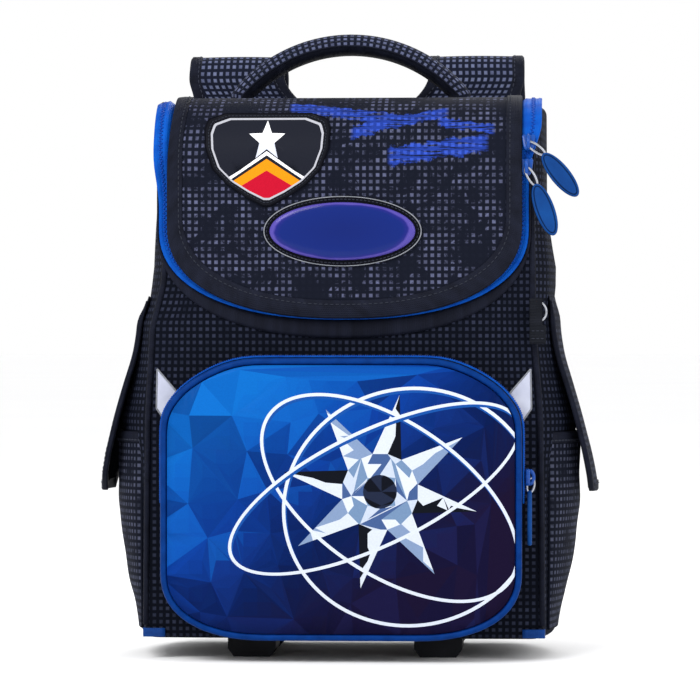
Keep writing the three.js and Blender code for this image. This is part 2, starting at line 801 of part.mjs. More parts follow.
// Carry handle: a padded bow from foot to foot over the top
function makeHandle() {
  const sides = 12;
  const footZ = bodyTop + clearance;
  const endZ = footZ + handleEndRise;
  const half = handleSpan / 2 - handleThickness / 2;
  const rise = handlePeakZ - endZ;
  const radius = (half * half + rise * rise) / (2 * rise);
  const sweep = Math.asin(half / radius);
  const steps = 10;
  const ring = (x, z, tilt, thick) => range(sides).map((k) => {
    const turn = (k / sides) * 2 * Math.PI;
    const out = (thick / 2) * Math.sin(turn);
    const across = (handleWidth / 2) * Math.cos(turn);
    return V(x + out * Math.sin(tilt), handleY + across, z + out * Math.cos(tilt));
  });
  const rings = [];
  rings.push(ring(-half, footZ, -Math.PI / 2, handleThickness * 0.8));
  for (const k of range(steps + 1)) {
    const tilt = mix(-sweep, sweep, k / steps);
    const z = handlePeakZ - radius * (1 - Math.cos(tilt));
    const lean = Math.abs(k - steps / 2) === steps / 2 ? tilt * 1.5 : tilt;
    rings.push(ring(radius * Math.sin(tilt), z, lean, handleThickness));
  }
  rings.push(ring(half, footZ, Math.PI / 2, handleThickness * 0.8));
  return loft(rings);
}

// Back panel: a padded board with four raised pads and a channel between them
function padRise(x, z) {
  const edge = (value, from, to) => THREE.MathUtils.smoothstep(value, from, to);
  const a = Math.abs(x) / (panelWidth / 2);
  const b = (z - panelBase) / panelHeight;
  const across = edge(a, 0.14, 0.34) * (1 - edge(a, 0.8, 0.97));
  const low = edge(b, 0.03, 0.12) * (1 - edge(b, 0.4, 0.48));
  const high = edge(b, 0.52, 0.6) * (1 - edge(b, 0.86, 0.95));
  return padHeight * across * Math.max(low, high);
}

const panelColumns = [-1, -0.96, -0.86, -0.57, -0.3, -0.16, 0, 0.16, 0.3, 0.57, 0.86, 0.96, 1];
const panelRows = [0, 0.04, 0.11, 0.25, 0.38, 0.47, 0.53, 0.61, 0.72, 0.85, 0.94, 1];

function makeBackPanel() {
  const back = bodyBackY + clearance;
  return sheet(panelRows.length, panelColumns.length, (i, j, side) => {
    const squeeze = i === 0 || i === panelRows.length - 1 ? 0.94 : 1;
    const x = (panelColumns[j] * squeeze * panelWidth) / 2;
    const z = panelBase + panelRows[i] * panelHeight;
    return V(x, side ? back + panelThickness + padRise(x, z) : back, z);
  });
}

// A flat strap whose route runs in depth and height: rows of { x, y, z, width }
function strapLoft(route, thickness) {
  const rings = route.map((row, i) => {
    const before = route[Math.max(i - 1, 0)];
    const after = route[Math.min(i + 1, route.length - 1)];
    const run = Math.hypot(after.y - before.y, after.z - before.z);
    const normalY = (after.z - before.z) / run;
    const normalZ = (before.y - after.y) / run;
    const place = (across, out) => V(
      row.x + across * row.width, row.y + out * thickness * normalY, row.z + out * thickness * normalZ,
    );
    return [
      place(-0.5, -0.2), place(-0.46, -0.5), place(0.46, -0.5), place(0.5, -0.2),
      place(0.5, 0.2), place(0.46, 0.5), place(-0.46, 0.5), place(-0.5, 0.2),
    ];
  });
  return loft(rings);
}

const strapBaseY = bodyBackY + clearance + strapThickness / 2;
const strapFarY = strapBaseY + 2 * strapBendRadius;
const bendCentreZ = strapPeakZ - strapThickness / 2 - strapBendRadius;

// The back run of the strap: [share of the way down, depth share, offset across, width share]
const strapRun = [
  [0.12, 1, 0.02, 1], [0.35, 0.95, 0.08, 0.98], [0.65, 0.8, 0.07, 0.86], [0.88, 0.66, 0.02, 0.7],
  [1, 0.62, 0, 0.6],
];

function makeStrap(side) {
  const lean = (share) => side * (strapCentreX - 14 * (1 - share));
  const route = [
    { x: lean(0), y: strapBaseY, z: strapAnchorZ, width: strapWidth + 16 },
    { x: lean(0.3), y: strapBaseY, z: mix(strapAnchorZ, bendCentreZ, 0.4), width: strapWidth + 12 },
    { x: lean(0.75), y: strapBaseY, z: mix(strapAnchorZ, bendCentreZ, 0.75), width: strapWidth + 3 },
  ];
  for (const turn of [180, 144, 108, 72, 36, 0]) {
    const angle = THREE.MathUtils.degToRad(turn);
    route.push({
      x: lean(1), width: strapWidth,
      y: strapBaseY + strapBendRadius * (1 + Math.cos(angle)),
      z: bendCentreZ + strapBendRadius * Math.sin(angle),
    });
  }
  for (const [down, depth, offset, width] of strapRun) {
    route.push({
      x: side * (strapCentreX + offset * strapWidth), width: strapWidth * width,
      y: mix(strapBaseY, strapFarY, depth), z: mix(bendCentreZ, strapEndZ, down),
    });
  }
  return strapLoft(route, strapThickness);
}

// Ladder lock under each strap's end: a frame with two slots and a bar between them
const lockY = mix(strapBaseY, strapFarY, strapRun.at(-1)[1]);
const lockZ = strapEndZ - clearance - lockHeight / 2;

function makeLock(side) {
  const frame = block(lockWidth, lockThickness, lockHeight, 0, 0, 0);
  const slotWidth = webbingWidth + 2;
  const offset = (lockBar + lockSlot) / 2;
  const upper = block(slotWidth, lockThickness + 2, lockSlot, 0, 0, offset);
  const lower = block(slotWidth, lockThickness + 2, lockSlot, 0, 0, -offset);
  return cut(frame, upper, lower).translate(side * strapCentreX, lockY, lockZ);
}

// Webbing from the anchor up behind the lock, through its upper slot and down in front as a tail
function makeWebbing(side) {
  const skin = lockThickness / 2 + webbingThickness / 2 + clearance;
  const slotZ = lockZ + (lockBar + lockSlot) / 2;
  const foot = anchorZ + anchorHeight / 2 + clearance;
  const row = (y, z) => ({ x: side * strapCentreX, y, z, width: webbingWidth });
  const route = [
    row(bodyBackY + clearance + anchorThickness / 2, foot),
    row(bodyBackY + clearance + anchorThickness / 2, foot + 2 * webbingThickness),
    row(mix(strapBaseY, lockY, 0.25), mix(foot, lockZ, 0.1)),
    row(mix(strapBaseY, lockY, 0.7), mix(foot, lockZ, 0.3)),
    row(lockY - skin, lockZ - lockHeight / 2 - 4),
    row(lockY - skin, slotZ - lockSlot * 0.3),
    row(lockY - skin * 0.55, slotZ + lockSlot * 0.12),
    row(lockY + skin * 0.55, slotZ + lockSlot * 0.12),
    row(lockY + skin, slotZ - lockSlot * 0.3),
    row(lockY + skin, lockZ - lockHeight / 2),
    row(lockY + skin + 2, lockZ - lockHeight / 2 - tailLength),
  ];
  return strapLoft(route, webbingThickness);
}

function makeAnchor(side) {
  const y = bodyBackY + clearance + anchorThickness / 2;
  return block(anchorWidth, anchorThickness, anchorHeight, side * strapCentreX, y, anchorZ);
}

// Materials and assembly

function material(color, roughness, metalness = 0) {
  return () => new THREE.MeshStandardMaterial({ color, roughness, metalness });
}

const printedCloth = material('#23253a', 0.85);
const blackCloth = material('#14161c', 0.9);
const meshCloth = material('#1b1d24', 0.95);
const blueCloth = material('#0f55c4', 0.6);
const bluePrint = material('#0c3f9e', 0.5);
const blueRubber = material('#1d3f7a', 0.6);
const steel = material('#b9bcc4', 0.3, 1);
const blackPlastic = material('#111216', 0.5);
const reflective = material('#d5d8e6', 0.4);

const bag = new THREE.Group();

function add(name, geometry, look) {
  const mesh = new THREE.Mesh(geometry, look());
  mesh.name = name;
  bag.add(mesh);
  return mesh;
}

add('body_shell', makeBody(), printedCloth);
add('lid_flap', makeLid(), printedCloth);
add('lid_binding', makeLidBinding(), blackCloth);
add('lid_zip', makeLidZip(), blueCloth);
add('opening_band', makeOpeningBand(), blackCloth);
add('badge_rim', makeBadgeRim(), blackCloth);
add('badge_dome', makeBadgeDome(), bluePrint);
add('shield_patch', makeShield(), blackCloth);
add('front_pocket', makePocket(), bluePrint);
add('pocket_piping', makePocketPiping(), blueCloth);
add('pocket_zip', makePocketZip(), blueCloth);
add('handle', makeHandle(), printedCloth);
add('back_panel', makeBackPanel(), meshCloth);
add('d_ring', makeRing(ringWire), steel);
add('hang_loop', makeHangLoop(), blackCloth);

for (const [name, side] of [['left', -1], ['right', 1]]) {
  add(`edge_piping_${name}`, makeEdgePiping(side), blackCloth);
  add(`side_pocket_${name}`, makeSidePocket(side), printedCloth);
  add(`side_flap_${name}`, makeSideFlap(side), printedCloth);
  add(`reflector_${name}`, makeReflector(side), reflective);
  add(`corner_tab_${name}`, makeCornerTab(side), blueCloth);
  add(`shoulder_strap_${name}`, makeStrap(side), printedCloth);
  add(`ladder_lock_${name}`, makeLock(side), blackPlastic);
  add(`strap_webbing_${name}`, makeWebbing(side), blackCloth);
  add(`webbing_anchor_${name}`, makeAnchor(side), blackCloth);
  for (const [place, depth] of [['front', -1], ['back', 1]]) {
    const foot = add(`foot_${place}_${name}`, makeFoot(), blackPlastic);
    foot.position.set((side * footSpacingX) / 2, (depth * footSpacingY) / 2, 0);
  }
}

// Sliders and pulls: two on the lid's zip, one on the pocket's
const lidChainX = zipOuterHalf - 4;
const zipTop = clearance + zipTapeThickness + clearance;

function addLidPull(name, up, topX, topRise, tilt) {
  const seat = onFace(lidChainX, archStart + up, zipTop);
  const out = onFace(lidChainX, archStart + up, zipTop + 1).sub(seat).normalize();
  const along = V(1, 0, 0).cross(out).negate();
  const angle = THREE.MathUtils.degToRad(tilt);
  const way = V(Math.sin(angle), 0, -Math.cos(angle));
  const top = V(topX, seat.y - sliderHeight * 0.6, archStart + topRise);
  const linkEnd = top.clone().addScaledVector(way, -clearance);
  add(`slider_${name}`, makeSlider(seat, out, along, linkEnd), steel);
  add(`pull_${name}`, makePull(top, way, V(0, -1, 0), pullLength, pullWidth), blueRubber);
}

addLidPull('upper', 15, zipOuterHalf + 7, 9.7, 39);
addLidPull('lower', 1, zipOuterHalf + 2, -10.3, 20);

const pocketSeat = V(pocketWidth / 2 + clearance + pocketZipThickness + clearance, pocketZipY, pocketSliderZ);
const pocketPullTop = V(pocketSeat.x + sliderHeight * 0.45, pocketZipY, pocketSliderZ - sliderLength / 2 - 3);
const pocketLinkEnd = pocketPullTop.clone().add(V(0, 0, clearance));
add('pocket_slider', makeSlider(pocketSeat, V(1, 0, 0), V(0, 0, 1), pocketLinkEnd), steel);
add('pocket_pull', makePull(pocketPullTop, V(0, 0, -1), V(1, 0, 0), pullLength, pullWidth), blueRubber);

// The origin goes to the ground under the middle of the whole bag
const box = new THREE.Box3().setFromObject(bag);
const middle = box.getCenter(V(0, 0, 0));
bag.position.set(-middle.x, -middle.y, -box.min.z);

export default bag;
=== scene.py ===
# %% [markdown]
# A rigid school backpack
# This lesson dresses the solid model of a stiff school bag: printed cloth on a box-shaped body, a
# U-shaped lid with a zip round it, a padded front pocket, side pockets under hanging flaps, a carry
# handle and two shoulder straps. The solid model gives every size, and the cells below give the
# cloth, the seams and the finishes. All sizes are real millimetres until a mesh is made.

# %% Load the frame
import math
import random

import bmesh
import bpy
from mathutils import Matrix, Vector, geometry, noise


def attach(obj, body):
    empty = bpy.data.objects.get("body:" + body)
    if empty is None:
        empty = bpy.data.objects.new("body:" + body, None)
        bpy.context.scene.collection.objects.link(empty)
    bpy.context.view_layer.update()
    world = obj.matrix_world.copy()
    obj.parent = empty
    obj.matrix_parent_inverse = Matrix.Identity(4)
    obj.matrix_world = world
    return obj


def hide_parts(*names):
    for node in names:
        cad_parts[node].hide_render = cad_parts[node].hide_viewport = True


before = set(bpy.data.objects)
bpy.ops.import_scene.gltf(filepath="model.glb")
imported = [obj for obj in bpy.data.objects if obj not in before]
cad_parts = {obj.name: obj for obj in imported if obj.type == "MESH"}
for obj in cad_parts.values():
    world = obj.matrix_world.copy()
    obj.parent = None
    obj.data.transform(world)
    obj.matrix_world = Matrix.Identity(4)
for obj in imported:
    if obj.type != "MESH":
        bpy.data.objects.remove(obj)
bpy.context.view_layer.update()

print("nodes in the frame:", len(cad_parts))

# %% [markdown]
# Small tools
# A sewn bag is made of panels cut flat and bent into shape, so the main helper skins a grid of
# points and gives each corner its place on the flat cloth, in millimetres. A print or a weave that
# reads those places keeps its real size round every bend, as dyed cloth does.

# %% Millimetres to metres
MM = 0.001
OWN_SHIFT_Y = 0.25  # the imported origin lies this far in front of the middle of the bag's body


def metres(x, y, z):
    return Vector((x * MM, (y + OWN_SHIFT_Y) * MM, z * MM))


def mix(a, b, share):
    return a + (b - a) * share


def between(a, b, share):
    """The point at a share of the way from a to b."""
    return tuple(mix(p, q, share) for p, q in zip(a, b))


def clamp(value, low=0.0, high=1.0):
    return max(low, min(high, value))


def smooth(value, start, end):
    share = clamp((value - start) / (end - start))
    return share * share * (3 - 2 * share)


def read_table(table, share):
    """The value at a share in rows of (share, value)."""
    if share <= table[0][0]:
        return table[0][1]
    for (s0, v0), (s1, v1) in zip(table, table[1:]):
        if share <= s1:
            return mix(v0, v1, (share - s0) / (s1 - s0))
    return table[-1][1]


def soft_read(table, share, reach):
    """The same, averaged over a short reach, so that the line has no corners."""
    return sum(read_table(table, clamp(share + d)) for d in (-reach, 0, reach)) / 3


def turns(count):
    """The angles of count even steps round a circle."""
    return [2 * math.pi * k / count for k in range(count)]


# %% Places on the flat cloth
def spaced(columns, rows, across, down):
    """Even steps, for a sheet or for a small piece whose print doesn't show."""
    return [[(k * across, r * down) for k in range(columns)] for r in range(rows)]


def by_run(run, columns, across):
    """Steps along a route that has been measured, and even steps across it."""
    return [[(r, across * k) for k in range(columns)] for r in run]


# %% A pattern piece: grids and cords gathered into one mesh
WELD = 2e-6  # metres between points that are one


class Pattern:
    """Collects faces with their place on the flat cloth, then makes one object of them."""

    def __init__(self):
        self.points, self.faces, self.places, self.slots, self.colours = [], [], [], [], []

    def face(self, corners, places, slot=0, colour=None):
        self.faces.append(corners)
        self.places.append(places)
        self.slots.append(slot)
        self.colours.append(colour)

    def grid(self, rows, places, closed=False, loop=False, slot=0, caps=False):
        """rows are lists of millimetre points. places has one more column than a closed row, and
        one more row when the rows themselves run round in a loop."""
        start, across = len(self.points), len(rows[0])
        for row in rows:
            self.points.extend(metres(*p) for p in row)
        for i in range(len(rows) if loop else len(rows) - 1):
            for j in range(across if closed else across - 1):
                i1, j1 = (i + 1) % len(rows), (j + 1) % across
                ring = [(i, j), (i, j1), (i1, j1), (i1, j)]
                flat = [(i, j), (i, j + 1), (i + 1, j + 1), (i + 1, j)]
                pick = slot(i, j) if callable(slot) else slot
                self.face([start + a * across + b for a, b in ring], [places[a][b] for a, b in flat], pick)
        if caps:
            last = start + (len(rows) - 1) * across
            end_slot = slot(0, 0) if callable(slot) else slot
            back = range(across)[::-1]
            self.face([start + k for k in back], [places[0][k] for k in back], end_slot)
            self.face([last + k for k in range(across)], places[-1][:across], end_slot)
        return self

    def build(self, name, *materials):
        mesh = bpy.data.meshes.new(name)
        mesh.from_pydata(self.points, [], self.faces)
        layer = mesh.uv_layers.new(name="cloth")
        loop = 0
        for places in self.places:
            for u, v in places:
                layer.data[loop].uv = (u, v)
                loop += 1
        if any(c is not None for c in self.colours):
            paint = mesh.color_attributes.new("facet", "BYTE_COLOR", "CORNER")
            loop = 0
            for colour, places in zip(self.colours, self.places):
                for _ in places:
                    paint.data[loop].color = colour
                    loop += 1
        for polygon, slot in zip(mesh.polygons, self.slots):
            polygon.material_index = slot
            polygon.use_smooth = True
        for material in materials:
            mesh.materials.append(material)
        made = bmesh.new()
        made.from_mesh(mesh)
        bmesh.ops.remove_doubles(made, verts=made.verts, dist=WELD)
        bmesh.ops.recalc_face_normals(made, faces=made.faces)
        made.to_mesh(mesh)
        made.free()
        piece = bpy.data.objects.new(name, mesh)
        bpy.context.scene.collection.objects.link(piece)
        return piece


def dress(piece, slot, *nodes):
    """The piece rides on the bag and stands for the solids it is made for. The slot argument is not used."""
    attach(piece, "root")
    if nodes:
        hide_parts(*nodes)
    print(f"{piece.name}: {len(piece.data.polygons)} faces")
    return piece


def modifier(piece, kind, **settings):
    made = piece.modifiers.new(kind.title(), kind)
    for key, value in settings.items():
        setattr(made, key, value)


def thicken(piece, wall, offset=-1, **settings):
    """Gives a sheet its real thickness in millimetres, inwards unless offset says otherwise."""
    modifier(piece, "SOLIDIFY", thickness=wall * MM, offset=offset, **settings)


def slab(pattern, outer, inner, places, step, depth):
    """Two sheets back to back, closed round their rim. Gives the rim's (row, column) places."""
    last_row, last = len(outer) - 1, len(outer[0]) - 1
    pattern.grid(outer, places)
    pattern.grid([row[::-1] for row in inner], [row[::-1] for row in places], slot=1)
    rim = ([(i, 0) for i in range(last_row + 1)] + [(last_row, j) for j in range(1, last + 1)]
           + [(i, last) for i in range(last_row - 1, -1, -1)] + [(0, j) for j in range(last - 1, 0, -1)])
    pattern.grid([[sheet[i][j] for i, j in rim] for sheet in (outer, inner)],
                 [[(k * step, w) for k in range(len(rim) + 1)] for w in (0, depth)], closed=True, slot=1)
    return rim


# %% Lines, cords and stitches
def lengths(route):
    """The running length at each point of a route of millimetre points."""
    run = [0.0]
    for a, b in zip(route, route[1:]):
        run.append(run[-1] + math.dist(a, b))
    return run


def along_route(route, distance):
    """The point and the way forward at a distance along a route."""
    run = lengths(route)
    k = next((i for i in range(1, len(run)) if run[i] >= distance), len(run) - 1)
    a, b = Vector(route[k - 1]), Vector(route[k])
    share = clamp((distance - run[k - 1]) / max(run[k] - run[k - 1], 1e-9))
    return a.lerp(b, share), (b - a).normalized()


def rounded(route, steps):
    """A smooth route through the points: a Catmull-Rom curve with steps points a stretch."""
    last, result = len(route) - 1, []
    for k in range(last):
        quad = [route[max(k - 1, 0)], route[k], route[k + 1], route[min(k + 2, last)]]
        for t in [i / steps for i in range(steps)]:
            result.append(tuple(0.5 * (2 * b + (c - a) * t + (2 * a - 5 * b + 4 * c - d) * t * t
                                       + (3 * b - a - 3 * c + d) * t ** 3) for a, b, c, d in zip(*quad)))
    return result + [route[-1]]


def cord(pattern, route, normal, radius, sides=10, loop=False, slot=0):
    """A round cord whose route lies in a plane square to normal."""
    route = [Vector(p) for p in route]
    normal = Vector(normal)
    count = len(route)
    rows, places, run = [], [], 0.0
    for i in range(count):
        before = route[(i - 1) % count if loop else max(i - 1, 0)]
        after = route[(i + 1) % count if loop else min(i + 1, count - 1)]
        up = (after - before).normalized().cross(normal)
        rows.append([route[i] + normal * (radius * math.cos(a)) + up * (radius * math.sin(a))
                     for a in turns(sides)])
        places.append([(run, radius * 2 * math.pi * k / sides) for k in range(sides + 1)])
        run += (route[(i + 1) % count] - route[i]).length if i < count - 1 or loop else 0
    if loop:
        places.append([(run, place[1]) for place in places[0]])
    return pattern.grid(rows, places, closed=True, loop=loop, slot=slot, caps=not loop)


def way_off(out, place):
    """The way off the cloth: out itself, or what out gives at a place."""
    return Vector(out(place) if callable(out) else out).normalized()


def stitches(pattern, route, out, pitch=3.6, length=2.5, width=0.75, height=0.45, slot=0):
    """A row of thread bumps lying on the cloth."""
    total = lengths(route)[-1]
    count = int(total / pitch)
    for n in range(count):
        middle, way = along_route(route, (n + 0.5) * total / count)
        lift = way_off(out, middle)
        side = way.cross(lift).normalized()
        rows = []
        for share, size in ((-0.5, 0.35), (-0.3, 1), (0.3, 1), (0.5, 0.35)):
            centre = middle + way * (share * length)
            rows.append([centre + side * (width / 2 * size * math.cos(a)) + lift * (height * size * math.sin(a))
                         for a in turns(8)])
        pattern.grid(rows, [[(0.0, 0.0)] * 9 for _ in rows], closed=True, slot=slot, caps=True)
    return pattern


# %% Colours and nodes
def srgb(code):
    """A hex colour as linear light, which is what Blender's colour sockets expect."""
    parts = [int(code[k:k + 2], 16) / 255 for k in (1, 3, 5)]
    return tuple(c / 12.92 if c <= 0.04045 else ((c + 0.055) / 1.055) ** 2.4 for c in parts) + (1.0,)


def node(material, kind, feeds=None, stops=None, **settings):
    """Adds one shader node. settings are its properties. feeds maps a socket to a value, or to the
    socket or the node that feeds it. stops are the (place, hex colour) rows of a colour ramp."""
    made = material.node_tree.nodes.new("ShaderNode" + kind)
    for key, value in settings.items():
        setattr(made, key, value)
    if stops:
        ramp = made.color_ramp
        while len(ramp.elements) < len(stops):
            ramp.elements.new(0.5)
        for element, (place, colour) in zip(ramp.elements, stops):
            element.position, element.color = place, srgb(colour)
    for key, value in (feeds or {}).items():
        if isinstance(value, bpy.types.Node):
            value = value.outputs[0]
        if isinstance(value, bpy.types.NodeSocket):
            material.node_tree.links.new(value, made.inputs[key])
        else:
            made.inputs[key].default_value = value
    return made


def new_material(name):
    material = bpy.data.materials.new(name)
    material.use_nodes = True
    material.node_tree.nodes.clear()
    return material


def finish_material(material, shader):
    node(material, "OutputMaterial", {"Surface": shader})
    print("material:", material.name)
    return material


# %% [markdown]
# Camera
# The photograph looks at the front from a little to the right, level with the middle of the bag and
# from far away, so the lines stay almost parallel. A long lens on a camera 2.4 m off gives that.

# %% Camera
CAMERA_TURN = math.radians(3.3)
CAMERA_HEIGHT = 0.204
CAMERA_DISTANCE = 2.4
LENS, SENSOR = 181.2, 36  # millimetres
camera_data = bpy.data.cameras.new("photo_camera")
camera_data.sensor_width = SENSOR
camera_data.lens = LENS
camera = bpy.data.objects.new("photo_camera", camera_data)
bpy.context.scene.collection.objects.link(camera)
away = Vector((math.sin(CAMERA_TURN), -math.cos(CAMERA_TURN), 0))
camera.location = Vector((0, 0, CAMERA_HEIGHT)) + away * CAMERA_DISTANCE
camera.rotation_euler = (-away).to_track_quat("-Z", "Y").to_euler()
bpy.context.scene.camera = camera
print("camera at", [round(c, 3) for c in camera.location])

# %% [markdown]
# Studio
# A catalogue picture stands its goods on white paper in even light. The floor here is one wide pale
# sheet, the world is a white room, and two large soft lights give the gloss on the arch and a soft
# shadow under the feet.

# %% Floor
floor_paper = new_material("matt_white_studio_paper")
paper_grain = node(floor_paper, "TexNoise", {"Scale": 220.0, "Detail": 3.0})
paper_tone = node(floor_paper, "ValToRGB", {"Fac": paper_grain},
                  stops=[(0.3, "#fdfdfe"), (0.7, "#ffffff")])
finish_material(floor_paper, node(floor_paper, "BsdfPrincipled", {
    "Base Color": paper_tone, "Roughness": 0.9, "IOR": 1.45}))
floor = Pattern()
floor.points = [Vector((x, y, 0)) for x, y in ((-150, -150), (150, -150), (150, 150), (-150, 150))]
floor.face([0, 1, 2, 3], [(0, 0), (1, 0), (1, 1), (0, 1)])
floor = floor.build("studio_floor", floor_paper)

# %% Lights
def soft_light(name, place, size, power):
    data = bpy.data.lights.new(name, "AREA")
    data.shape, data.size, data.energy = "DISK", size, power
    lamp = bpy.data.objects.new(name, data)
    bpy.context.scene.collection.objects.link(lamp)
    lamp.location = place
    lamp.rotation_euler = (Vector((0, 0, 0.2)) - Vector(place)).to_track_quat("-Z", "Y").to_euler()
    print("light", name, power, "W")


soft_light("key_softbox", (-0.9, -1.6, 1.7), 1.2, 34)
soft_light("fill_softbox", (1.7, -1.2, 1.0), 1.4, 12)
soft_light("rim_softbox", (0.3, 1.6, 1.6), 1.2, 14)
world = bpy.data.worlds.new("white_room")
world.use_nodes = True
world.node_tree.nodes["Background"].inputs[0].default_value = (1, 1, 1, 1)
world.node_tree.nodes["Background"].inputs[1].default_value = 1.0
bpy.context.scene.world = world
bpy.context.scene.view_settings.view_transform = "Standard"

# %% [markdown]
# Printed polyester
# The body, lid, flaps and straps are one cloth: plain-woven polyester, dyed near black and printed
# with small squares. The dye sits in the thread, so the print is as matt as the ground, and the
# weave gives a soft sheen at grazing light. The squares repeat every 4.4 mm. The thread is really
# about 0.45 mm; it is drawn at 0.9 mm so that it shows.

# %% Printed cloth
SQUARE_PITCH = 4.4
THREAD_PITCH = 0.9


def flat_place(material):
    """The place on the flat cloth, in millimetres."""
    return node(material, "UVMap", uv_map="cloth")


def weave(material, place, pitch=THREAD_PITCH, strength=0.35, depth=0.12):
    """A plain weave as relief: threads over and under, pitch millimetres apart."""
    turns = 2 * math.pi / pitch
    scaled = node(material, "VectorMath", {0: place, 1: (turns, turns, 0)}, operation="MULTIPLY")
    waves = node(material, "VectorMath", {0: scaled}, operation="SINE")
    parts = node(material, "SeparateXYZ", {0: waves})
    height = node(material, "Math", {0: parts.outputs[0], 1: parts.outputs[1]}, operation="MULTIPLY")
    return node(material, "Bump", {"Strength": strength, "Distance": depth * MM, "Height": height})


def brushed_ink(material, place, strokes):
    """Where a dry brush has left ink: rough bars, each (from u, to u, from v, to v, width)."""
    wander = node(material, "TexNoise", {"Vector": place, "Scale": 0.16, "Detail": 5.0, "Roughness": 0.7})
    pushed = node(material, "Math", {0: wander, 1: 11.0, 2: -5.5}, operation="MULTIPLY_ADD")
    parts = node(material, "SeparateXYZ", {0: place})
    across = node(material, "Math", {0: parts.outputs[1], 1: pushed}, operation="ADD")
    bristles = node(material, "VectorMath", {0: place, 1: (0.07, 0.9, 0)}, operation="MULTIPLY")
    dry = node(material, "TexNoise", {"Vector": bristles, "Scale": 1.0, "Detail": 6.0, "Roughness": 0.65})
    inked = node(material, "MapRange", {"Value": dry, "From Min": 0.42, "From Max": 0.5})
    total = None
    for u0, u1, v0, v1, width in strokes:
        line = node(material, "MapRange", {"Value": parts.outputs[0], "From Min": u0, "From Max": u1,
                                                    "To Min": v0, "To Max": v1})
        off = node(material, "Math", {0: across, 1: line}, operation="SUBTRACT")
        far = node(material, "Math", {0: off}, operation="ABSOLUTE")
        bar = node(material, "MapRange", {"Value": far, "From Min": width * 0.45, "From Max": width * 0.55,
                                                   "To Min": 1.0, "To Max": 0.0})
        middle, reach = (u0 + u1) / 2, (u1 - u0) / 2
        from_middle = node(material, "Math", {0: parts.outputs[0], 1: middle}, operation="SUBTRACT")
        span = node(material, "Math", {0: from_middle}, operation="ABSOLUTE")
        ended = node(material, "MapRange", {"Value": span, "From Min": reach - 3, "From Max": reach,
                                                     "To Min": 1.0, "To Max": 0.0})
        both = node(material, "Math", {0: bar, 1: ended}, operation="MULTIPLY")
        total = both if total is None else node(material, "Math", {0: total, 1: both}, operation="MAXIMUM")
    return node(material, "Math", {0: total, 1: inked}, operation="MULTIPLY")


def printed_cloth(name, ground, square, bright, patch_from, patch_to, patch_tone, strokes=()):
    """Woven cloth with a grid of printed squares, worn or broken up by soft darker patches, and
    with rough strokes of blue ink over them where strokes are given."""
    cloth = new_material(name)
    place = flat_place(cloth)
    cells = node(cloth, "VectorMath", {0: place, 1: (1 / SQUARE_PITCH, 1 / SQUARE_PITCH, 0)},
                 operation="MULTIPLY")
    inside = node(cloth, "VectorMath", {0: cells}, operation="FRACTION")
    centred = node(cloth, "VectorMath", {0: inside, 1: (0.5, 0.5, 0)}, operation="SUBTRACT")
    spread = node(cloth, "VectorMath", {0: centred}, operation="ABSOLUTE")
    sides = node(cloth, "SeparateXYZ", {0: spread})
    reach = node(cloth, "Math", {0: sides.outputs[0], 1: sides.outputs[1]}, operation="MAXIMUM")
    squares = node(cloth, "MapRange", {"Value": reach, "From Min": 0.2, "From Max": 0.31,
                                                "To Min": 1.0, "To Max": 0.0})
    # each square takes its own amount of ink
    cell = node(cloth, "VectorMath", {0: cells}, operation="FLOOR")
    ink = node(cloth, "TexWhiteNoise", {"Vector": cell}, noise_dimensions="2D")
    tone = node(cloth, "Mix", {0: ink, 6: srgb(square), 7: srgb(bright)}, data_type="RGBA").outputs[2]
    # broad patches where the print breaks up, about 25 mm across with ragged edges
    blots = node(cloth, "TexNoise", {"Vector": place, "Scale": 0.055, "Detail": 7.0,
                                              "Roughness": 0.72, "Distortion": 0.6})
    worn = node(cloth, "ValToRGB", {"Fac": blots},
                stops=[(patch_from, "#ffffff"), (patch_to, patch_tone)])
    shown = node(cloth, "Math", {0: squares, 1: worn}, operation="MULTIPLY")
    colour = node(cloth, "Mix", {0: shown, 6: srgb(ground), 7: tone}, data_type="RGBA").outputs[2]
    if strokes:
        ink_tone = node(cloth, "Mix", {0: squares, 6: srgb("#1f3688"), 7: srgb("#304cb0")}, data_type="RGBA").outputs[2]
        colour = node(cloth, "Mix", {0: brushed_ink(cloth, place, strokes), 6: colour, 7: ink_tone},
                      data_type="RGBA").outputs[2]
    shader = node(cloth, "BsdfPrincipled", {
        "Base Color": colour, "Roughness": 0.72, "IOR": 1.5, "Specular IOR Level": 0.03,
        "Sheen Weight": 0.015, "Sheen Roughness": 0.35, "Sheen Tint": srgb("#8f93b8"),
        "Normal": weave(cloth, place)})
    return finish_material(cloth, shader)


# the body's copy is much darker than the lid's and the flaps': its tones were matched to the body in the shade under
# the lid, so its darkness is partly painted shade
body_print_with_painted_shade = printed_cloth("printed_polyester_body_painted_shade", "#080b14", "#202432", "#2b2f40", 0.5, 0.72, "#7a7a7a")
LID_STROKES = ((-36, 42, 366, 352, 9), (6, 70, 344, 360, 8), (30, 96, 330, 338, 10), (62, 100, 352, 346, 6))
lid_print = printed_cloth("printed_polyester_lid", "#11141f", "#404358", "#565a75", 0.45, 0.53, "#202020", LID_STROKES)
flap_print = printed_cloth("printed_polyester_flaps", "#0f121c", "#363a4a", "#484b5e", 0.48, 0.6, "#555555")
strap_print = printed_cloth("printed_polyester_straps", "#141826", "#505672", "#646b88", 0.5, 0.75, "#909090")
lid_plain = printed_cloth("printed_polyester_handle", "#131724", "#4a4f68", "#5d6380", 0.5, 0.75, "#909090")

# %% [markdown]
# Tapes, linings and mesh
# The edges are bound with ribbed polyester tape, the zips are nylon coils on a woven tape, and the
# back and the insides of the straps are spacer mesh, a thick knit with open holes that lets air
# through. Tape ribs run across the tape, about 1.2 mm apart.

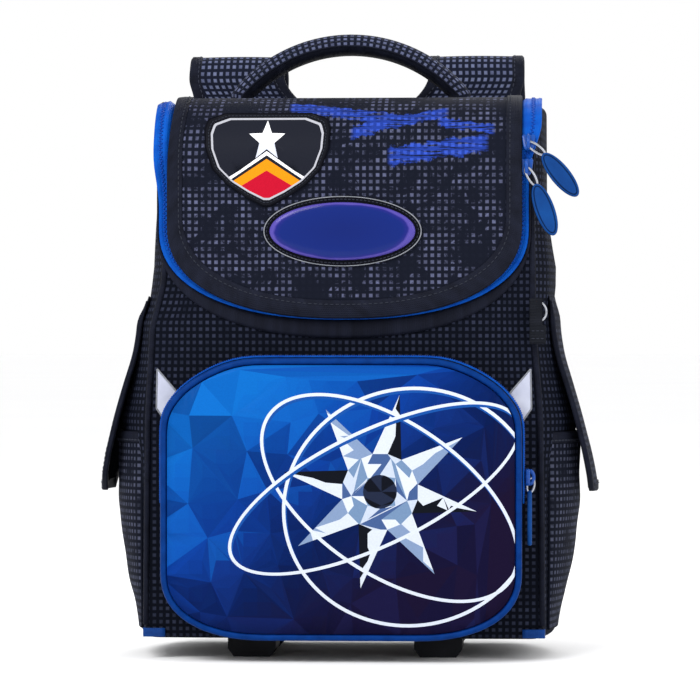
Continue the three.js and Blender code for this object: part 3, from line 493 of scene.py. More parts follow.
# %% Ribbed tape, zip tape and nylon coil
def ribbed_tape(name, dark, light, rib=1.2, roughness=0.6, strength=0.5, sheen=0.012, level=0.04):
    tape = new_material(name)
    place = flat_place(tape)
    ribs = node(tape, "VectorMath", {0: place, 1: (2 * math.pi / rib, 2 * math.pi / (rib * 0.8), 0)},
                operation="MULTIPLY")
    waves = node(tape, "VectorMath", {0: ribs}, operation="SINE")
    parts = node(tape, "SeparateXYZ", {0: waves})
    mixed = node(tape, "Math", {0: parts.outputs[0], 1: 0.7, 2: parts.outputs[1]},
                 operation="MULTIPLY_ADD")
    fade = node(tape, "TexNoise", {"Vector": place, "Scale": 0.12, "Detail": 4.0})
    colour = node(tape, "ValToRGB", {"Fac": fade}, stops=[(0.3, dark), (0.75, light)])
    relief = node(tape, "Bump", {"Strength": strength, "Distance": 0.15 * MM, "Height": mixed})
    return finish_material(tape, node(tape, "BsdfPrincipled", {
        "Base Color": colour, "Roughness": roughness, "IOR": 1.5, "Specular IOR Level": level,
        "Sheen Weight": sheen, "Sheen Roughness": 0.4, "Sheen Tint": srgb("#9aa0b5"), "Normal": relief}))


binding_tape = ribbed_tape("ribbed_polyester_binding", "#11131c", "#1a1d2a")
webbing_weave = ribbed_tape("woven_polyester_webbing", "#101217", "#1a1c23", rib=1.8, strength=0.7)
zip_tape = ribbed_tape("woven_zip_tape", "#06409a", "#0a54b2", rib=0.8, roughness=0.5, strength=0.35)
zip_coil = ribbed_tape("nylon_zip_coil", "#06358a", "#0a46a4", rib=3.0, roughness=0.33, strength=0.1, sheen=0.0, level=0.12)
piping_cloth = ribbed_tape("coated_piping_cloth", "#042862", "#063478", rib=1.1, roughness=0.38, strength=0.25, sheen=0.0, level=0.03)
tab_cloth = ribbed_tape("crinkled_nylon_tab", "#052c68", "#0a4088", rib=0.9, roughness=0.45, strength=0.4, level=0.1)
stitch_thread = ribbed_tape("polyester_thread_grey", "#262932", "#31343e", rib=0.8, strength=0.3)
pale_thread = ribbed_tape("polyester_thread_pale", "#2c2f3b", "#383b48", rib=0.8, strength=0.3)
white_thread = ribbed_tape("polyester_thread_white", "#75787f", "#8e9198", rib=0.8, strength=0.3)
lining_cloth = ribbed_tape("plain_nylon_lining", "#0b0c11", "#121319", rib=0.8, roughness=0.7, strength=0.2, sheen=0.0, level=0.0)

# %% Spacer mesh
def spacer_mesh(name, thread, hole_shade, pitch):
    """Knitted spacer mesh: round holes about pitch millimetres apart in a soft matt knit. The holes take a darker
    colour, which is painted shade in the knit's depth.
    """
    knit = new_material(name)
    place = flat_place(knit)
    cells = node(knit, "TexVoronoi", {"Vector": place, "Scale": 1 / pitch, "Randomness": 0.12},
                 feature="F1", voronoi_dimensions="2D").outputs["Distance"]
    rim = node(knit, "MapRange", {"Value": cells, "From Min": 0.22, "From Max": 0.4})
    # the holes are coloured darker: painted shade where the knit is deep
    colour = node(knit, "Mix", {0: rim, 6: srgb(hole_shade), 7: srgb(thread)}, data_type="RGBA").outputs[2]
    relief = node(knit, "Bump", {"Strength": 0.8, "Distance": 0.5 * MM, "Height": rim})
    return finish_material(knit, node(knit, "BsdfPrincipled", {
        "Base Color": colour, "Roughness": 0.85, "IOR": 1.5, "Specular IOR Level": 0.04,
        "Sheen Weight": 0.015, "Sheen Roughness": 0.5, "Sheen Tint": srgb("#6d7080"), "Normal": relief}))


# the second colour is painted shade for the holes
air_mesh = spacer_mesh("knitted_spacer_mesh", "#191b22", "#050609", 3.2)

# %% [markdown]
# Coated print, resin, rubber, steel and plastic
# The pocket panel is cloth with a smooth printed film, so it shines softly and its colours are
# strong. The oval badge is a drop of clear resin over a print, cast and left to level, which gives
# a mirror-like dome. The pulls are moulded soft rubber with a matt skin. Ring and sliders are plated
# steel, buckles and feet moulded acetal and hard rubber.

# %% Film print with painted facets
def film_print(name, roughness, coat):
    """Printed film on cloth. The facet colours are painted on the mesh, one for each face."""
    film = new_material(name)
    place = flat_place(film)
    paint = node(film, "VertexColor", layer_name="facet")
    ink = node(film, "TexNoise", {"Vector": place, "Scale": 0.9, "Detail": 3.0})
    grain = node(film, "MapRange", {"Value": ink, "To Min": 0.86, "To Max": 1.1})
    colour = node(film, "VectorMath", {0: paint, "Scale": grain}, operation="SCALE")
    return finish_material(film, node(film, "BsdfPrincipled", {
        "Base Color": colour, "Roughness": roughness, "IOR": 1.5, "Specular IOR Level": 0.02,
        "Coat Weight": coat, "Coat Roughness": 0.3, "Normal": weave(film, place, 0.8, 0.2, 0.08)}))


pocket_film = film_print("printed_film_pocket", 0.42, 0.02)
patch_film = film_print("printed_film_patch", 0.5, 0.02)
brush_film = film_print("printed_ink_strokes", 0.55, 0.0)

# %% Resin, rubber, steel, acetal and reflective film
def moulded(name, colours, roughness, ior=1.5, metallic=0.0, grain_mm=0.8, strength=0.1, coat=0.0, level=0.5):
    """A cast, moulded or plated part: even colour with slight drift and a fine skin."""
    skin = new_material(name)
    where = node(skin, "TexCoord").outputs["Object"]
    drift = node(skin, "TexNoise", {"Vector": where, "Scale": 60.0, "Detail": 4.0})
    colour = node(skin, "ValToRGB", {"Fac": drift},
                  stops=[(0.35, colours[0]), (0.7, colours[1])])
    pores = node(skin, "TexNoise", {"Vector": where, "Scale": 1000 / grain_mm, "Detail": 2.0})
    relief = node(skin, "Bump", {"Strength": strength, "Distance": 0.1 * MM, "Height": pores})
    values = {"Base Color": colour, "Roughness": roughness, "Metallic": metallic, "Coat Weight": coat,
              "Coat Roughness": 0.04, "Specular IOR Level": level, "Normal": relief}
    if not metallic:
        values["IOR"] = ior
    return finish_material(skin, node(skin, "BsdfPrincipled", values))


plated_steel = moulded("nickel_plated_steel", ("#8e9198", "#a9acb4"), 0.24, metallic=1.0, strength=0.15)
enamel_blue = moulded("baked_enamel_blue", ("#083a86", "#0c4a9e"), 0.3, coat=0.2, strength=0.05, level=0.15)
soft_rubber = moulded("moulded_soft_rubber", ("#08346e", "#0b3f7e"), 0.5, grain_mm=0.6, strength=0.15, level=0.08)
rubber_groove = moulded("moulded_rubber_groove", ("#051f46", "#072856"), 0.6, grain_mm=0.6, strength=0.15, level=0.05)
acetal = moulded("moulded_acetal_black", ("#0d0e11", "#15161a"), 0.4, ior=1.48, grain_mm=0.9, strength=0.2, level=0.15)
hard_rubber = moulded("moulded_hard_rubber", ("#111216", "#1a1b20"), 0.62, ior=1.52, grain_mm=1.2, strength=0.35, level=0.12)
reflective_film = moulded("reflective_glass_bead_film", ("#a9adc0", "#c0c4d4"), 0.32, grain_mm=1.4, strength=0.5, coat=0.1, level=0.2)

# %% [markdown]
# The body
# The real body is three panels, a front-and-top panel, two sides and a back, sewn over foam board.
# Here it is one skin of level rings with a woven top, because then its corners meet exactly, and
# each panel still gets its own straight run of print. The mouth is cut out of the front, and the
# skin is thickened inwards to the real 3 mm wall.

# %% Sizes of the body
BODY_BASE, BODY_HEIGHT = 13.3, 352
BODY_TOP = BODY_BASE + BODY_HEIGHT
FRONT_Y, BACK_Y = -75, 75
FRONT_CORNER, BACK_CORNER = 3.5, 22
ARCH_RADIUS, TOP_BACK, TOP_SIDE, BASE_ROUND = 42, 14, 5, 6
ARCH_START = BODY_TOP - ARCH_RADIUS
ARCH_Y = FRONT_Y + ARCH_RADIUS
ARCH_LENGTH = ARCH_RADIUS * math.pi / 2
SIDE_FRONT_Y, SIDE_BACK_Y = FRONT_Y + FRONT_CORNER, BACK_Y - BACK_CORNER
BACK_HALF, FOOT_HALF = 128, 131.5
WALL = 3


def crown(x):
    return 2 * (1 - (x / BACK_HALF) ** 2)


def front_half(z):
    return mix(FOOT_HALF, BACK_HALF, (z - BODY_BASE) / BODY_HEIGHT)


def side_at(y, z, swell=10):
    """How far out the side lies: straight between the corners, with a swell between them."""
    t = clamp((y - SIDE_FRONT_Y) / (SIDE_BACK_Y - SIDE_FRONT_Y))
    return mix(front_half(z), BACK_HALF, t) + swell * 4 * t * (1 - t) - 0.2


# the side panels swell most just above the flaps, and the full top edge pulls them in again
BODY_SWELL = [(13, 10), (110, 14), (140, 20), (148, 25.5), (156, 26), (167, 23), (182, 18.5), (204, 13), (232, 10), (256, 12.4), (282, 8),
              (305, 6), (366, 6)]
LEFT_LEAN = [(0, 0), (222, 0), (240, 5.5), (258, 8.5), (280, 6), (366, 5)]
TOP_RIM, SOLID_RIM = 5.5, 2.5  # how far the zip's wall stands off the arch, sewn and as drawn
DRAWN_RIGHT, DRAWN_LEFT = 4.2, 2.6


def settle(point):
    """How the sewn body differs from its drawing: the zip's outer wall stands up beside the lid on
    the arch, the left side panel leans in towards the top, and the front edges are drawn in."""
    x, y, z = point
    on_arch = z > ARCH_START
    if on_arch and y < ARCH_Y:
        reach = math.hypot(y - ARCH_Y, z - ARCH_START)
        way, depth = ((y - ARCH_Y) / reach, (z - ARCH_START) / reach), ARCH_RADIUS - reach
        along = ARCH_START + ARCH_RADIUS * math.atan2(z - ARCH_START, ARCH_Y - y)
    elif on_arch:
        way, depth, along = (0, 1), BODY_TOP - z, ARCH_START + ARCH_LENGTH
    else:
        way, depth, along = (-1, 0), y - FRONT_Y, z
    rise = ((TOP_RIM - SOLID_RIM) * smooth(along, ARCH_START - 8, ARCH_START + 36) * (1 - smooth(y, -12, 24))
            * smooth(abs(x), 123.0, 125.5) * (1 - smooth(depth, 0, 24)))
    lean = read_table(LEFT_LEAN, z) * smooth(-x, 90, 121)
    shrink = ((DRAWN_RIGHT if x > 0 else DRAWN_LEFT) * smooth(z, 150, 232) * smooth(abs(x), 96, 124)
              * (1 - smooth(y, SIDE_FRONT_Y + 4, -50)))
    return (x + lean - math.copysign(shrink, x), y + way[0] * rise, z + way[1] * rise)


def draw_in(radius, distance):
    return 0 if distance >= radius else radius - math.sqrt(max(radius ** 2 - (radius - distance) ** 2, 0))


def along_front(z):
    return z if z <= ARCH_START else ARCH_START + ARCH_RADIUS * math.asin(clamp((z - ARCH_START) / ARCH_RADIUS))


def on_face(across, along, out):
    """A place on the front and over the top arch: across, up along the cloth, and off the cloth."""
    rise = crown(across)
    if along <= ARCH_START:
        return (across, FRONT_Y - rise - out, along)
    angle = min((along - ARCH_START) / ARCH_RADIUS, math.pi / 2)
    beyond = max(along - ARCH_START - ARCH_LENGTH, 0)
    reach = ARCH_RADIUS + out
    return (across, ARCH_Y - (reach + rise) * math.cos(angle) + beyond, ARCH_START + reach * math.sin(angle))


def face_out(point):
    """The way off the cloth at a place on the front or the arch."""
    x, y, z = point
    return Vector((0, -1, 0)) if z <= ARCH_START else Vector((0, min(y - ARCH_Y, 0), z - ARCH_START))


# %% One level ring of the body, right half, from the front middle to the back middle
HALF_FRONT = 16


def half_ring(z):
    below, above = BODY_TOP - z, z - BODY_BASE
    base_in = draw_in(BASE_ROUND, above)
    side_in = base_in + draw_in(TOP_SIDE, below)
    back_y = BACK_Y - base_in - draw_in(TOP_BACK, below)
    lean = math.sqrt(max(1 - clamp((z - ARCH_START) / ARCH_RADIUS) ** 2, 0))
    flat = front_half(z) - side_in - FRONT_CORNER
    swell = read_table(BODY_SWELL, z)

    def front_y(x):
        return ARCH_Y - (ARCH_RADIUS + crown(x)) * lean + base_in

    corner_y = front_y(flat) + FRONT_CORNER
    ring = [(flat * k / (HALF_FRONT - 3), front_y(flat * k / (HALF_FRONT - 3)), z) for k in range(HALF_FRONT - 2)]
    for a in map(math.radians, (22.5, 45, 67.5)):
        ring.append((flat + FRONT_CORNER * math.sin(a), corner_y - FRONT_CORNER * math.cos(a), z))
    steps = 24
    for k in range(steps + 1):
        y = mix(corner_y, back_y - BACK_CORNER, k / steps)
        ring.append((side_at(mix(SIDE_FRONT_Y, SIDE_BACK_Y, k / steps), z, swell) - side_in, y, z))
    reach = BACK_HALF - side_in - BACK_CORNER
    for a in map(math.radians, (15, 30, 45, 60, 75, 90)):
        ring.append((reach + BACK_CORNER * math.cos(a), back_y - BACK_CORNER * (1 - math.sin(a)), z))
    rest = HALF_FRONT - 4
    for k in range(rest):
        ring.append((reach * (rest - 1 - k) / rest, back_y, z))
    ring[-1] = (0, back_y, z)
    return ring


# %% The body's skin
levels = [BODY_BASE + BASE_ROUND * (1 - math.cos(a * math.pi / 12)) for a in range(7)]
levels += [mix(BODY_BASE + BASE_ROUND, ARCH_START, k / 24) for k in range(1, 25)]
levels += [ARCH_START + ARCH_RADIUS * math.sin(k * math.pi / 56) for k in range(1, 29)]
halves = [half_ring(z) for z in levels]
FRONT_END = HALF_FRONT - 1  # the ring's place on the front corner
SIDE_END = len(halves[0]) - HALF_FRONT  # its place on the back corner
mouth_half, mouth_base, mouth_corner, mouth_top = 107, 236, 56, 386.3


FULLNESS = 2.3  # 2 would round a corner as an ellipse, and more fills it


def u_half_width(half, base, corner, along):
    """Half the width of a U shape at a height: straight sides over a full rounded foot."""
    rise = clamp((along - base) / corner)
    return half * (1 - (1 - rise) ** FULLNESS) ** (1 / FULLNESS)


def inside_mouth(x, along):
    if not mouth_base < along < mouth_top:
        return False
    return abs(x) < u_half_width(mouth_half, mouth_base, mouth_corner, along)


body = Pattern()
ring_size = 2 * len(halves[0]) - 2
for half in halves:
    mirrored = [(-x, y, z) for x, y, z in reversed(half[1:-1])]
    body.points.extend(metres(*settle(p)) for p in half + mirrored)


def body_place(i, k, region):
    """The place on the flat cloth for a ring point, by the panel that the face belongs to."""
    half = halves[i]
    index = k if k < len(half) else ring_size - k
    side = 1 if k < len(half) else -1
    x, y, z = half[index]
    if region == "front":
        return (side * x, along_front(z))
    return (side * (y + 300), z) if region == "side" else (side * x + 700, z)


for i in range(len(levels) - 1):
    for k in range(ring_size):
        k1 = (k + 1) % ring_size
        low = min(k, ring_size - k - 1)
        region = "front" if low < FRONT_END else "side" if low < SIDE_END else "back"
        corners = [(i, k), (i, k1), (i + 1, k1), (i + 1, k)]
        places = [body_place(a, b, region) for a, b in corners]
        if region == "front":
            u = sum(p[0] for p in places) / 4
            v = sum(p[1] for p in places) / 4
            if inside_mouth(u, v):
                continue
        body.face([a * ring_size + b for a, b in corners], places)


def body_cap(level, half, top):
    """Closes the top or the base with a grid between the front and back edges."""
    fronts, backs = half[:HALF_FRONT], half[SIDE_END:][::-1]
    sides = half[FRONT_END:SIDE_END + 1]
    depth = len(sides)
    for sign in (1, -1):
        rows = []
        for i in range(depth):
            v = i / (depth - 1)
            middle = Vector(fronts[0]).lerp(Vector(backs[0]), v)
            row = []
            for j in range(HALF_FRONT):
                u = j / (HALF_FRONT - 1)
                edge = Vector(fronts[j]).lerp(Vector(backs[j]), v)
                span = middle.lerp(Vector(sides[i]), u)
                corner = Vector(fronts[0]).lerp(Vector(fronts[-1]), u).lerp(
                    Vector(backs[0]).lerp(Vector(backs[-1]), u), v)
                p = edge + span - corner
                row.append(settle((sign * p.x, p.y, level)))
            rows.append(row)
        start = ARCH_START + ARCH_LENGTH - ARCH_Y if top else -FRONT_Y
        body.grid(rows, [[(p[0], start + p[1]) for p in row] for row in rows])


body_cap(BODY_TOP, halves[-1], True)
body_cap(BODY_BASE, halves[0], False)
body_cloth = body.build("body_cloth", body_print_with_painted_shade, lining_cloth)
thicken(body_cloth, WALL, material_offset=1, material_offset_rim=1)
dress(body_cloth, "printed_cloth", "body_shell")

# %% [markdown]
# Piping on the body's edges
# A cord wrapped in tape is sewn into the seam between front and side, so that the edge stays crisp.
# It is a swept round cord on the same line as its solid.

# %% Edge piping
SIDES = (("left", -1), ("right", 1))
PIPING, GAP = 2, 0.3  # the cord's radius, and the gap that the solids keep between parts
SUNK = 0.9
TAB_TOP = BODY_BASE + 1 + 6


def edge_route(side):
    reach = (FRONT_CORNER + PIPING + GAP) * math.sqrt(0.5)
    forward = reach - FRONT_CORNER
    heights = [mix(TAB_TOP + PIPING, ARCH_START, k / 20) for k in range(21)]
    half = [front_half(z) - FRONT_CORNER + reach for z in heights]
    route = [(side * x, FRONT_Y - forward, z) for x, z in zip(half, heights)]
    across, out = side * (half[-1] + GAP), ARCH_RADIUS + forward + GAP
    for a in [k * math.pi / 36 for k in range(1, 19)]:
        route.append((across, ARCH_Y - out * math.cos(a), ARCH_START + out * math.sin(a)))
    route += [(across, mix(ARCH_Y, -6, k / 5), route[-1][2]) for k in range(1, 6)]
    # the sewn cord sinks a little into the cloth beside it
    return [settle((x - side * SUNK, y + SUNK + 1.6 * smooth(z, 245, 285) * smooth(ARCH_Y - y, 30, 42), z))
            for x, y, z in route]


for name, side in SIDES:
    piping = cord(Pattern(), edge_route(side), (1, 0, 0), PIPING - 0.05, sides=12)
    dress(piping.build(f"edge_cord_{name}", binding_tape), "black_cloth", f"edge_piping_{name}")

# %% [markdown]
# The lid, its binding and its zip
# The lid is a U-shaped panel that stands off the body on its zip. Its edge is wrapped in folded
# tape, held by one row of stitches. The zip's woven tape runs round the mouth under the lid's edge,
# with a coil of nylon loops as a ridge. The lid's cloth carries rough ink strokes, a shield patch
# and an oval badge. Each is its own piece, so each keeps its real thickness.

# %% U-shaped lines
HINGE = ARCH_START + ARCH_LENGTH + (-6 - ARCH_Y)
RAMP = 24
BAND_END = HINGE - RAMP - 2
LID_IN, LID_OUT = 5, 8


def u_line(half, base, corner, top, straight=5.0, steps=26):
    """Points (across, along) down the right side of a U, round its foot and up the left side."""
    count = max(int((top - base - corner) / straight), 1)
    right = [(half, mix(top, base + corner, k / count)) for k in range(count)]
    for k in range(steps + 1):
        turn = k / steps * math.pi / 2
        right.append((half * math.cos(turn) ** (2 / FULLNESS) if k < steps else 0.0,
                      base + corner * (1 - math.sin(turn) ** (2 / FULLNESS))))
    return right + [(-x, s) for x, s in reversed(right[:-1])]


def zip_wall(along):
    """How far the zip's outer half stands up beside the lid on the arch."""
    return TOP_RIM * smooth(along, ARCH_START - 8, ARCH_START + 36)


def zip_spread(x, along, share):
    """The zip fans out over the arch until its outer edge meets the side."""
    wide = smooth(along, ARCH_START - 6, ARCH_START + 30)
    return x + math.copysign((8.6 if x > 0 else 3.3) * wide * smooth(share, 0.3, 0.9), x)


def lid_place(x, along, share=0):
    """The lid lies a little to the right, most of all over the arch."""
    if x > 0:
        return x + 2.3 * x / 115
    return x + mix(-0.8, 2.0, smooth(along, ARCH_START + 6, ARCH_START + 60)) * abs(x) / 115


def u_band(inner, outer, section, wall=lambda along: 0, spread=lambda x, along, share: x):
    """A band between two U lines. section rows are (share from inner to outer, height out); wall
    lifts its outer half, and spread moves it sideways."""
    run = lengths([on_face(*between(a, b, 0.5), 0) for a, b in zip(inner, outer)])
    width = math.dist(on_face(*inner[0], 0), on_face(*outer[0], 0))
    rows = []
    for a, b in zip(inner, outer):
        middles = [between(a, b, s) for s, _ in section]
        rows.append([on_face(spread(x, a[1], s), along, out + wall(a[1]) * smooth(s, 0.3, 0.62))
                     for (x, along), (s, out) in zip(middles, section)])
    across = [s * width for s, _ in section + section[:1]]
    places = [[(r, w + 0.4 * k) for k, w in enumerate(across)] for r in run]
    return Pattern().grid(rows, places, closed=True, caps=True)


def u_thread(inner, outer, share, spread, height):
    """A line on such a band, at one share of its width and a height over each place along it."""
    middles = [between(a, b, share) for a, b in zip(inner, outer)]
    return [on_face(spread(x, a[1], share), along, height(a[1])) for (x, along), a in zip(middles, inner)]


def lid_drop(along):
    share = clamp((HINGE - along) / RAMP)
    return -4.7 * (1 - share * share * (3 - 2 * share))


# %% Lid cloth
lid_half, lid_base, lid_corner = 114.0, 226.4, 61.2
lid_rows = [mix(HINGE, lid_base + lid_corner, k / 52) for k in range(52)]
lid_rows += [lid_base + lid_corner * (1 - math.sin(k / 27 * math.pi / 2) ** (2 / FULLNESS)) for k in range(26)]
lid = Pattern()
grid_rows, grid_places = [], []
for along in lid_rows:
    half = u_half_width(lid_half, lid_base, lid_corner, along)
    row = [half * (k / 24 - 1) for k in range(49)]
    lift = LID_OUT + lid_drop(along)
    grid_rows.append([on_face(lid_place(x, along), along, lift) for x in row])
    grid_places.append([(x + 1.6, along) for x in row])
lid.grid(grid_rows, grid_places)
lid_cloth = lid.build("lid_cloth", lid_print, lining_cloth)
thicken(lid_cloth, 3, material_offset=1, material_offset_rim=1)
dress(lid_cloth, "printed_cloth", "lid_flap")

# %% Lid binding and its stitches
bind_inner = u_line(105.2, 236.8, 57, BAND_END)
bind_outer = u_line(115.5, 224.5, 62, BAND_END)
back, front = LID_IN - 0.3, LID_OUT + 0.3
fold = [(0, back - 0.9), (0.9, back - 0.9), (0.97, back - 0.3), (1, back + 0.8), (1, front - 0.8),
        (0.97, front + 0.4), (0.9, front + 0.85), (0.5, front + 1.0), (0.06, front + 0.85), (0, front + 0.4),
        (0, front), (0.88, front), (0.9, front - 0.5), (0.9, back + 0.5), (0.88, back), (0, back)]
binding = u_band(bind_inner, bind_outer, fold, spread=lid_place)
thread_line = u_thread(bind_inner, bind_outer, 0.24, lid_place, lambda along: front + 0.9)
stitches(binding, thread_line, face_out, slot=1)
dress(binding.build("lid_binding_tape", binding_tape, stitch_thread), "black_cloth", "lid_binding")

# %% Zip tape and coil round the lid
zip_inner = u_line(108.5, 235.5, 57, BAND_END)
zip_outer = u_line(122.2, 224.0, 60, BAND_END)
tape = [(0, 0.35), (0.3, 0.35), (0.62, 0.35), (1, 0.35), (1, 1.5), (0.97, 1.9), (0.86, 2.0), (0.83, 1.6),
        (0.62, 1.6), (0.58, 2.0), (0.46, 2.0), (0.42, 1.7), (0.3, 1.5), (0, 1.5)]
zip_band = u_band(zip_inner, zip_outer, tape, wall=zip_wall, spread=zip_spread)
ZIP_CHAIN = 0.72


def zip_teeth(pattern, route, out, pitch, width, height, slot):
    """Nylon coil loops as low rounded bars square to the zip, on both sides of its middle."""
    total = lengths(route)[-1]
    for n in range(int(total / pitch)):
        middle, way = along_route(route, (n + 0.5) * pitch)
        lift = way_off(out, middle)
        side = way.cross(lift).normalized() * (1 if n % 2 else -1)
        rows = []
        for share, size in ((-0.25, 0.6), (0.0, 1), (0.6, 1), (1.0, 0.55)):
            centre = middle + side * (share * width / 2)
            rows.append([centre + way * (pitch * 0.42 * size * math.cos(a)) + lift * (height * size * math.sin(a))
                         for a in turns(6)])
        pattern.grid(rows, [[(0.4, 0.4)] * 7 for _ in rows], closed=True, slot=slot, caps=True)
    return pattern


chain_line = u_thread(zip_inner, zip_outer, ZIP_CHAIN, zip_spread, lambda along: 1.5 + zip_wall(along))
zip_teeth(zip_band, chain_line, face_out, 1.5, 2.6, 1.0, 1)
dress(zip_band.build("lid_zip_tape", zip_tape, zip_coil), "blue_cloth", "lid_zip")

# %% Band round the mouth
# the band's outer edge reaches lower than the sewn band, down to 212 mm, so that its black also covers the shadow under
# the lid's edge: partly tape, partly painted shadow
mouth_inner = u_line(122.3, 223.6, 60, ARCH_START - 4)
mouth_outer_into_shadow = u_line(123.6, 212, 72, ARCH_START - 4)
mouth = u_band(mouth_inner, mouth_outer_into_shadow,
               [(0, 0.35), (1, 0.35), (1, 1.1), (0.8, 1.7), (0.5, 1.9), (0.2, 1.7), (0, 1.1)])
dress(mouth.build("mouth_band_tape_with_painted_shadow", binding_tape), "black_cloth", "opening_band")

# %% [markdown]
# Painted panels
# The pocket front and the shield patch are printed in flat areas of colour with sharp edges. A
# printer would lay down ink; here the panel is cut into triangles along the edges of the drawing,
# with a constrained triangulation, and every face is painted one colour. So the print is exact at
# any distance and needs no picture.

# %% Drawing tools
def inside_polygon(x, z, polygon):
    inside = False
    for (x0, z0), (x1, z1) in zip(polygon, polygon[1:] + polygon[:1]):
        if (z0 > z) != (z1 > z) and x < (x1 - x0) * (z - z0) / (z1 - z0) + x0:
            inside = not inside
    return inside


def triangulate(loops, loose):
    """Triangles whose edges follow every loop, with loose points between them."""
    points, edges = [], []
    for loop in loops:
        start = len(points)
        points += [Vector(p) for p in loop]
        edges += [(start + k, start + (k + 1) % len(loop)) for k in range(len(loop))]
    points += [Vector(p) for p in loose]
    out = geometry.delaunay_2d_cdt(points, edges, [], 0, 1e-4)
    return out[0], out[2]


def painted_panel(pattern, outline, drawing, loose, colour_at, lift, slot=0):
    """Adds a flat drawing inside an outline, one colour a triangle, lifted onto its surface."""
    points, triangles = triangulate([outline] + drawing, loose)
    start = len(pattern.points)
    pattern.points.extend(metres(*lift(p.x, p.y)) for p in points)
    for triangle in triangles:
        x = sum(points[k].x for k in triangle) / 3
        z = sum(points[k].y for k in triangle) / 3
        if inside_polygon(x, z, outline):
            pattern.face([start + k for k in triangle], [tuple(points[k]) for k in triangle],
                         slot, srgb(colour_at(x, z)))
    return pattern


def star(cx, cz, outer, inner, points, turn=0.0):
    """The corner points of a star, its first point straight up when turn is 0."""
    rows = []
    for k in range(2 * points):
        reach = outer if k % 2 == 0 else inner
        a = turn + math.pi * k / points
        rows.append((cx + reach * math.sin(a), cz + reach * math.cos(a)))
    return rows


# %% [markdown]
# Badge and shield
# The oval badge is a padded black oval with a stitched rim round a drop of cast resin. Level resin bulges most near its
# middle and turns down steeply at its edge, which is why it shines in a band; that band is also painted, as a lighter
# violet highlight in the resin's colour near its edge.
# The shield is a black patch, sewn on, with a plain star over a chevron in red, orange and white.

# %% Oval badge
LID_FACE = LID_OUT + 0.3
BADGE_Z, BADGE_W, BADGE_H = 282, 104, 46


def oval_line(width, height, out, steps):
    """An oval round the badge's middle, at a height off the cloth."""
    return [on_face(width / 2 * math.cos(a), BADGE_Z + height / 2 * math.sin(a), out) for a in turns(steps)]


def face_oval(pattern, width, height, rows, sides=72):
    grid_rows = [oval_line(width * share, height * share, out, sides) for share, out in rows]
    ring = turns(sides) + [2 * math.pi]
    places = [[(share * math.cos(a), share * math.sin(a)) for a in ring] for share, _ in rows]
    return pattern.grid(grid_rows, places, closed=True, caps=True)


rim_top = LID_FACE + 1.8
badge = face_oval(Pattern(), BADGE_W, BADGE_H,
                  [(1, LID_FACE), (1, LID_FACE + 1.0), (0.99, rim_top - 0.3), (0.97, rim_top), (0.5, rim_top)])
rim_line = oval_line(BADGE_W - 4, BADGE_H - 4, rim_top, 96)
stitches(badge, rim_line + rim_line[:1], (0, -1, 0), pitch=2.6, length=1.9, width=0.7, height=0.4, slot=1)
edge_line = oval_line(BADGE_W - 0.6, BADGE_H - 0.6, rim_top - 0.5, 96)
cord(badge, edge_line, (0, -1, 0), 0.4, sides=8, loop=True, slot=2)
dress(badge.build("badge_oval_rim", lining_cloth, stitch_thread, white_thread), "black_cloth", "badge_rim")

DOME = [(1, 0), (1, 0.6), (0.99, 1.3), (0.965, 1.8), (0.92, 2.3), (0.84, 2.7), (0.7, 2.95), (0.5, 3.1),
        (0.25, 3.18), (0.05, 3.2)]
dome = face_oval(Pattern(), BADGE_W - 8, BADGE_H - 8, [(share, rim_top + 0.3 + rise) for share, rise in DOME])
badge_resin = new_material("cast_resin_with_painted_rim_highlight")
radius = node(badge_resin, "VectorMath", {0: flat_place(badge_resin)}, operation="LENGTH").outputs["Value"]
mist = node(badge_resin, "TexNoise", {"Vector": flat_place(badge_resin), "Scale": 1.6, "Detail": 2.0})
drifted = node(badge_resin, "Math", {0: mist, 1: 0.12, 2: radius}, operation="MULTIPLY_ADD")
# deep blue over most of the dome, turning lighter violet at the very edge: that violet band is a painted highlight
# where the resin turns down
resin_colour_with_painted_highlight = node(badge_resin, "ValToRGB", {"Fac": drifted}, stops=[
    (0.2, "#041a60"), (0.9, "#051d66"), (0.97, "#181c6e"), (1.0, "#4a4092")])
finish_material(badge_resin, node(badge_resin, "BsdfPrincipled", {
    "Base Color": resin_colour_with_painted_highlight, "Roughness": 0.3, "IOR": 1.55, "Specular IOR Level": 0.05,
    "Coat Weight": 0.2, "Coat Roughness": 0.05}))
dress(dome.build("badge_resin_dome", badge_resin), "badge_gel", "badge_dome")

# %% Shield patch
SHIELD_X, SHIELD_LOW, SHIELD_H, SHIELD_W = -50, 298, 60, 84
SHIELD_SIDE = [(0, 0.05), (0.1, 0.32), (0.24, 0.62), (0.42, 0.86), (0.62, 0.98), (0.8, 1), (0.92, 0.95),
               (1, 0.68)]
STAR_UP = 41


def shield_outline(inset):
    """The shield's outline drawn in by inset, anticlockwise from its right foot."""
    scale_w, scale_h = 1 - 2 * inset / SHIELD_W, 1 - 2 * inset / SHIELD_H
    right = [(SHIELD_W / 2 * read_table(SHIELD_SIDE, k / 40), k / 40 * SHIELD_H) for k in range(41)]
    loop = right + [(0, SHIELD_H)] + [(-x, h) for x, h in reversed(right)]
    middle = SHIELD_H / 2
    return [(SHIELD_X + x * scale_w, SHIELD_LOW + middle + (h - middle) * scale_h) for x, h in loop]


def chevron(low, wide):
    """A band that rises to a point in the middle, wider than the shield at both ends."""
    line = ((-60, low - 18), (0, low + 18), (60, low - 18))
    return ([(SHIELD_X + x, SHIELD_LOW + h) for x, h in line]
            + [(SHIELD_X + x, SHIELD_LOW + h + wide) for x, h in reversed(line)])


shield_star = star(SHIELD_X, SHIELD_LOW + STAR_UP, 12.5, 5.2, 5)
chevrons = [chevron(6, 6.5), chevron(14.5, 2.2)]
field = shield_outline(4.6)
field_edge = shield_outline(6.0)


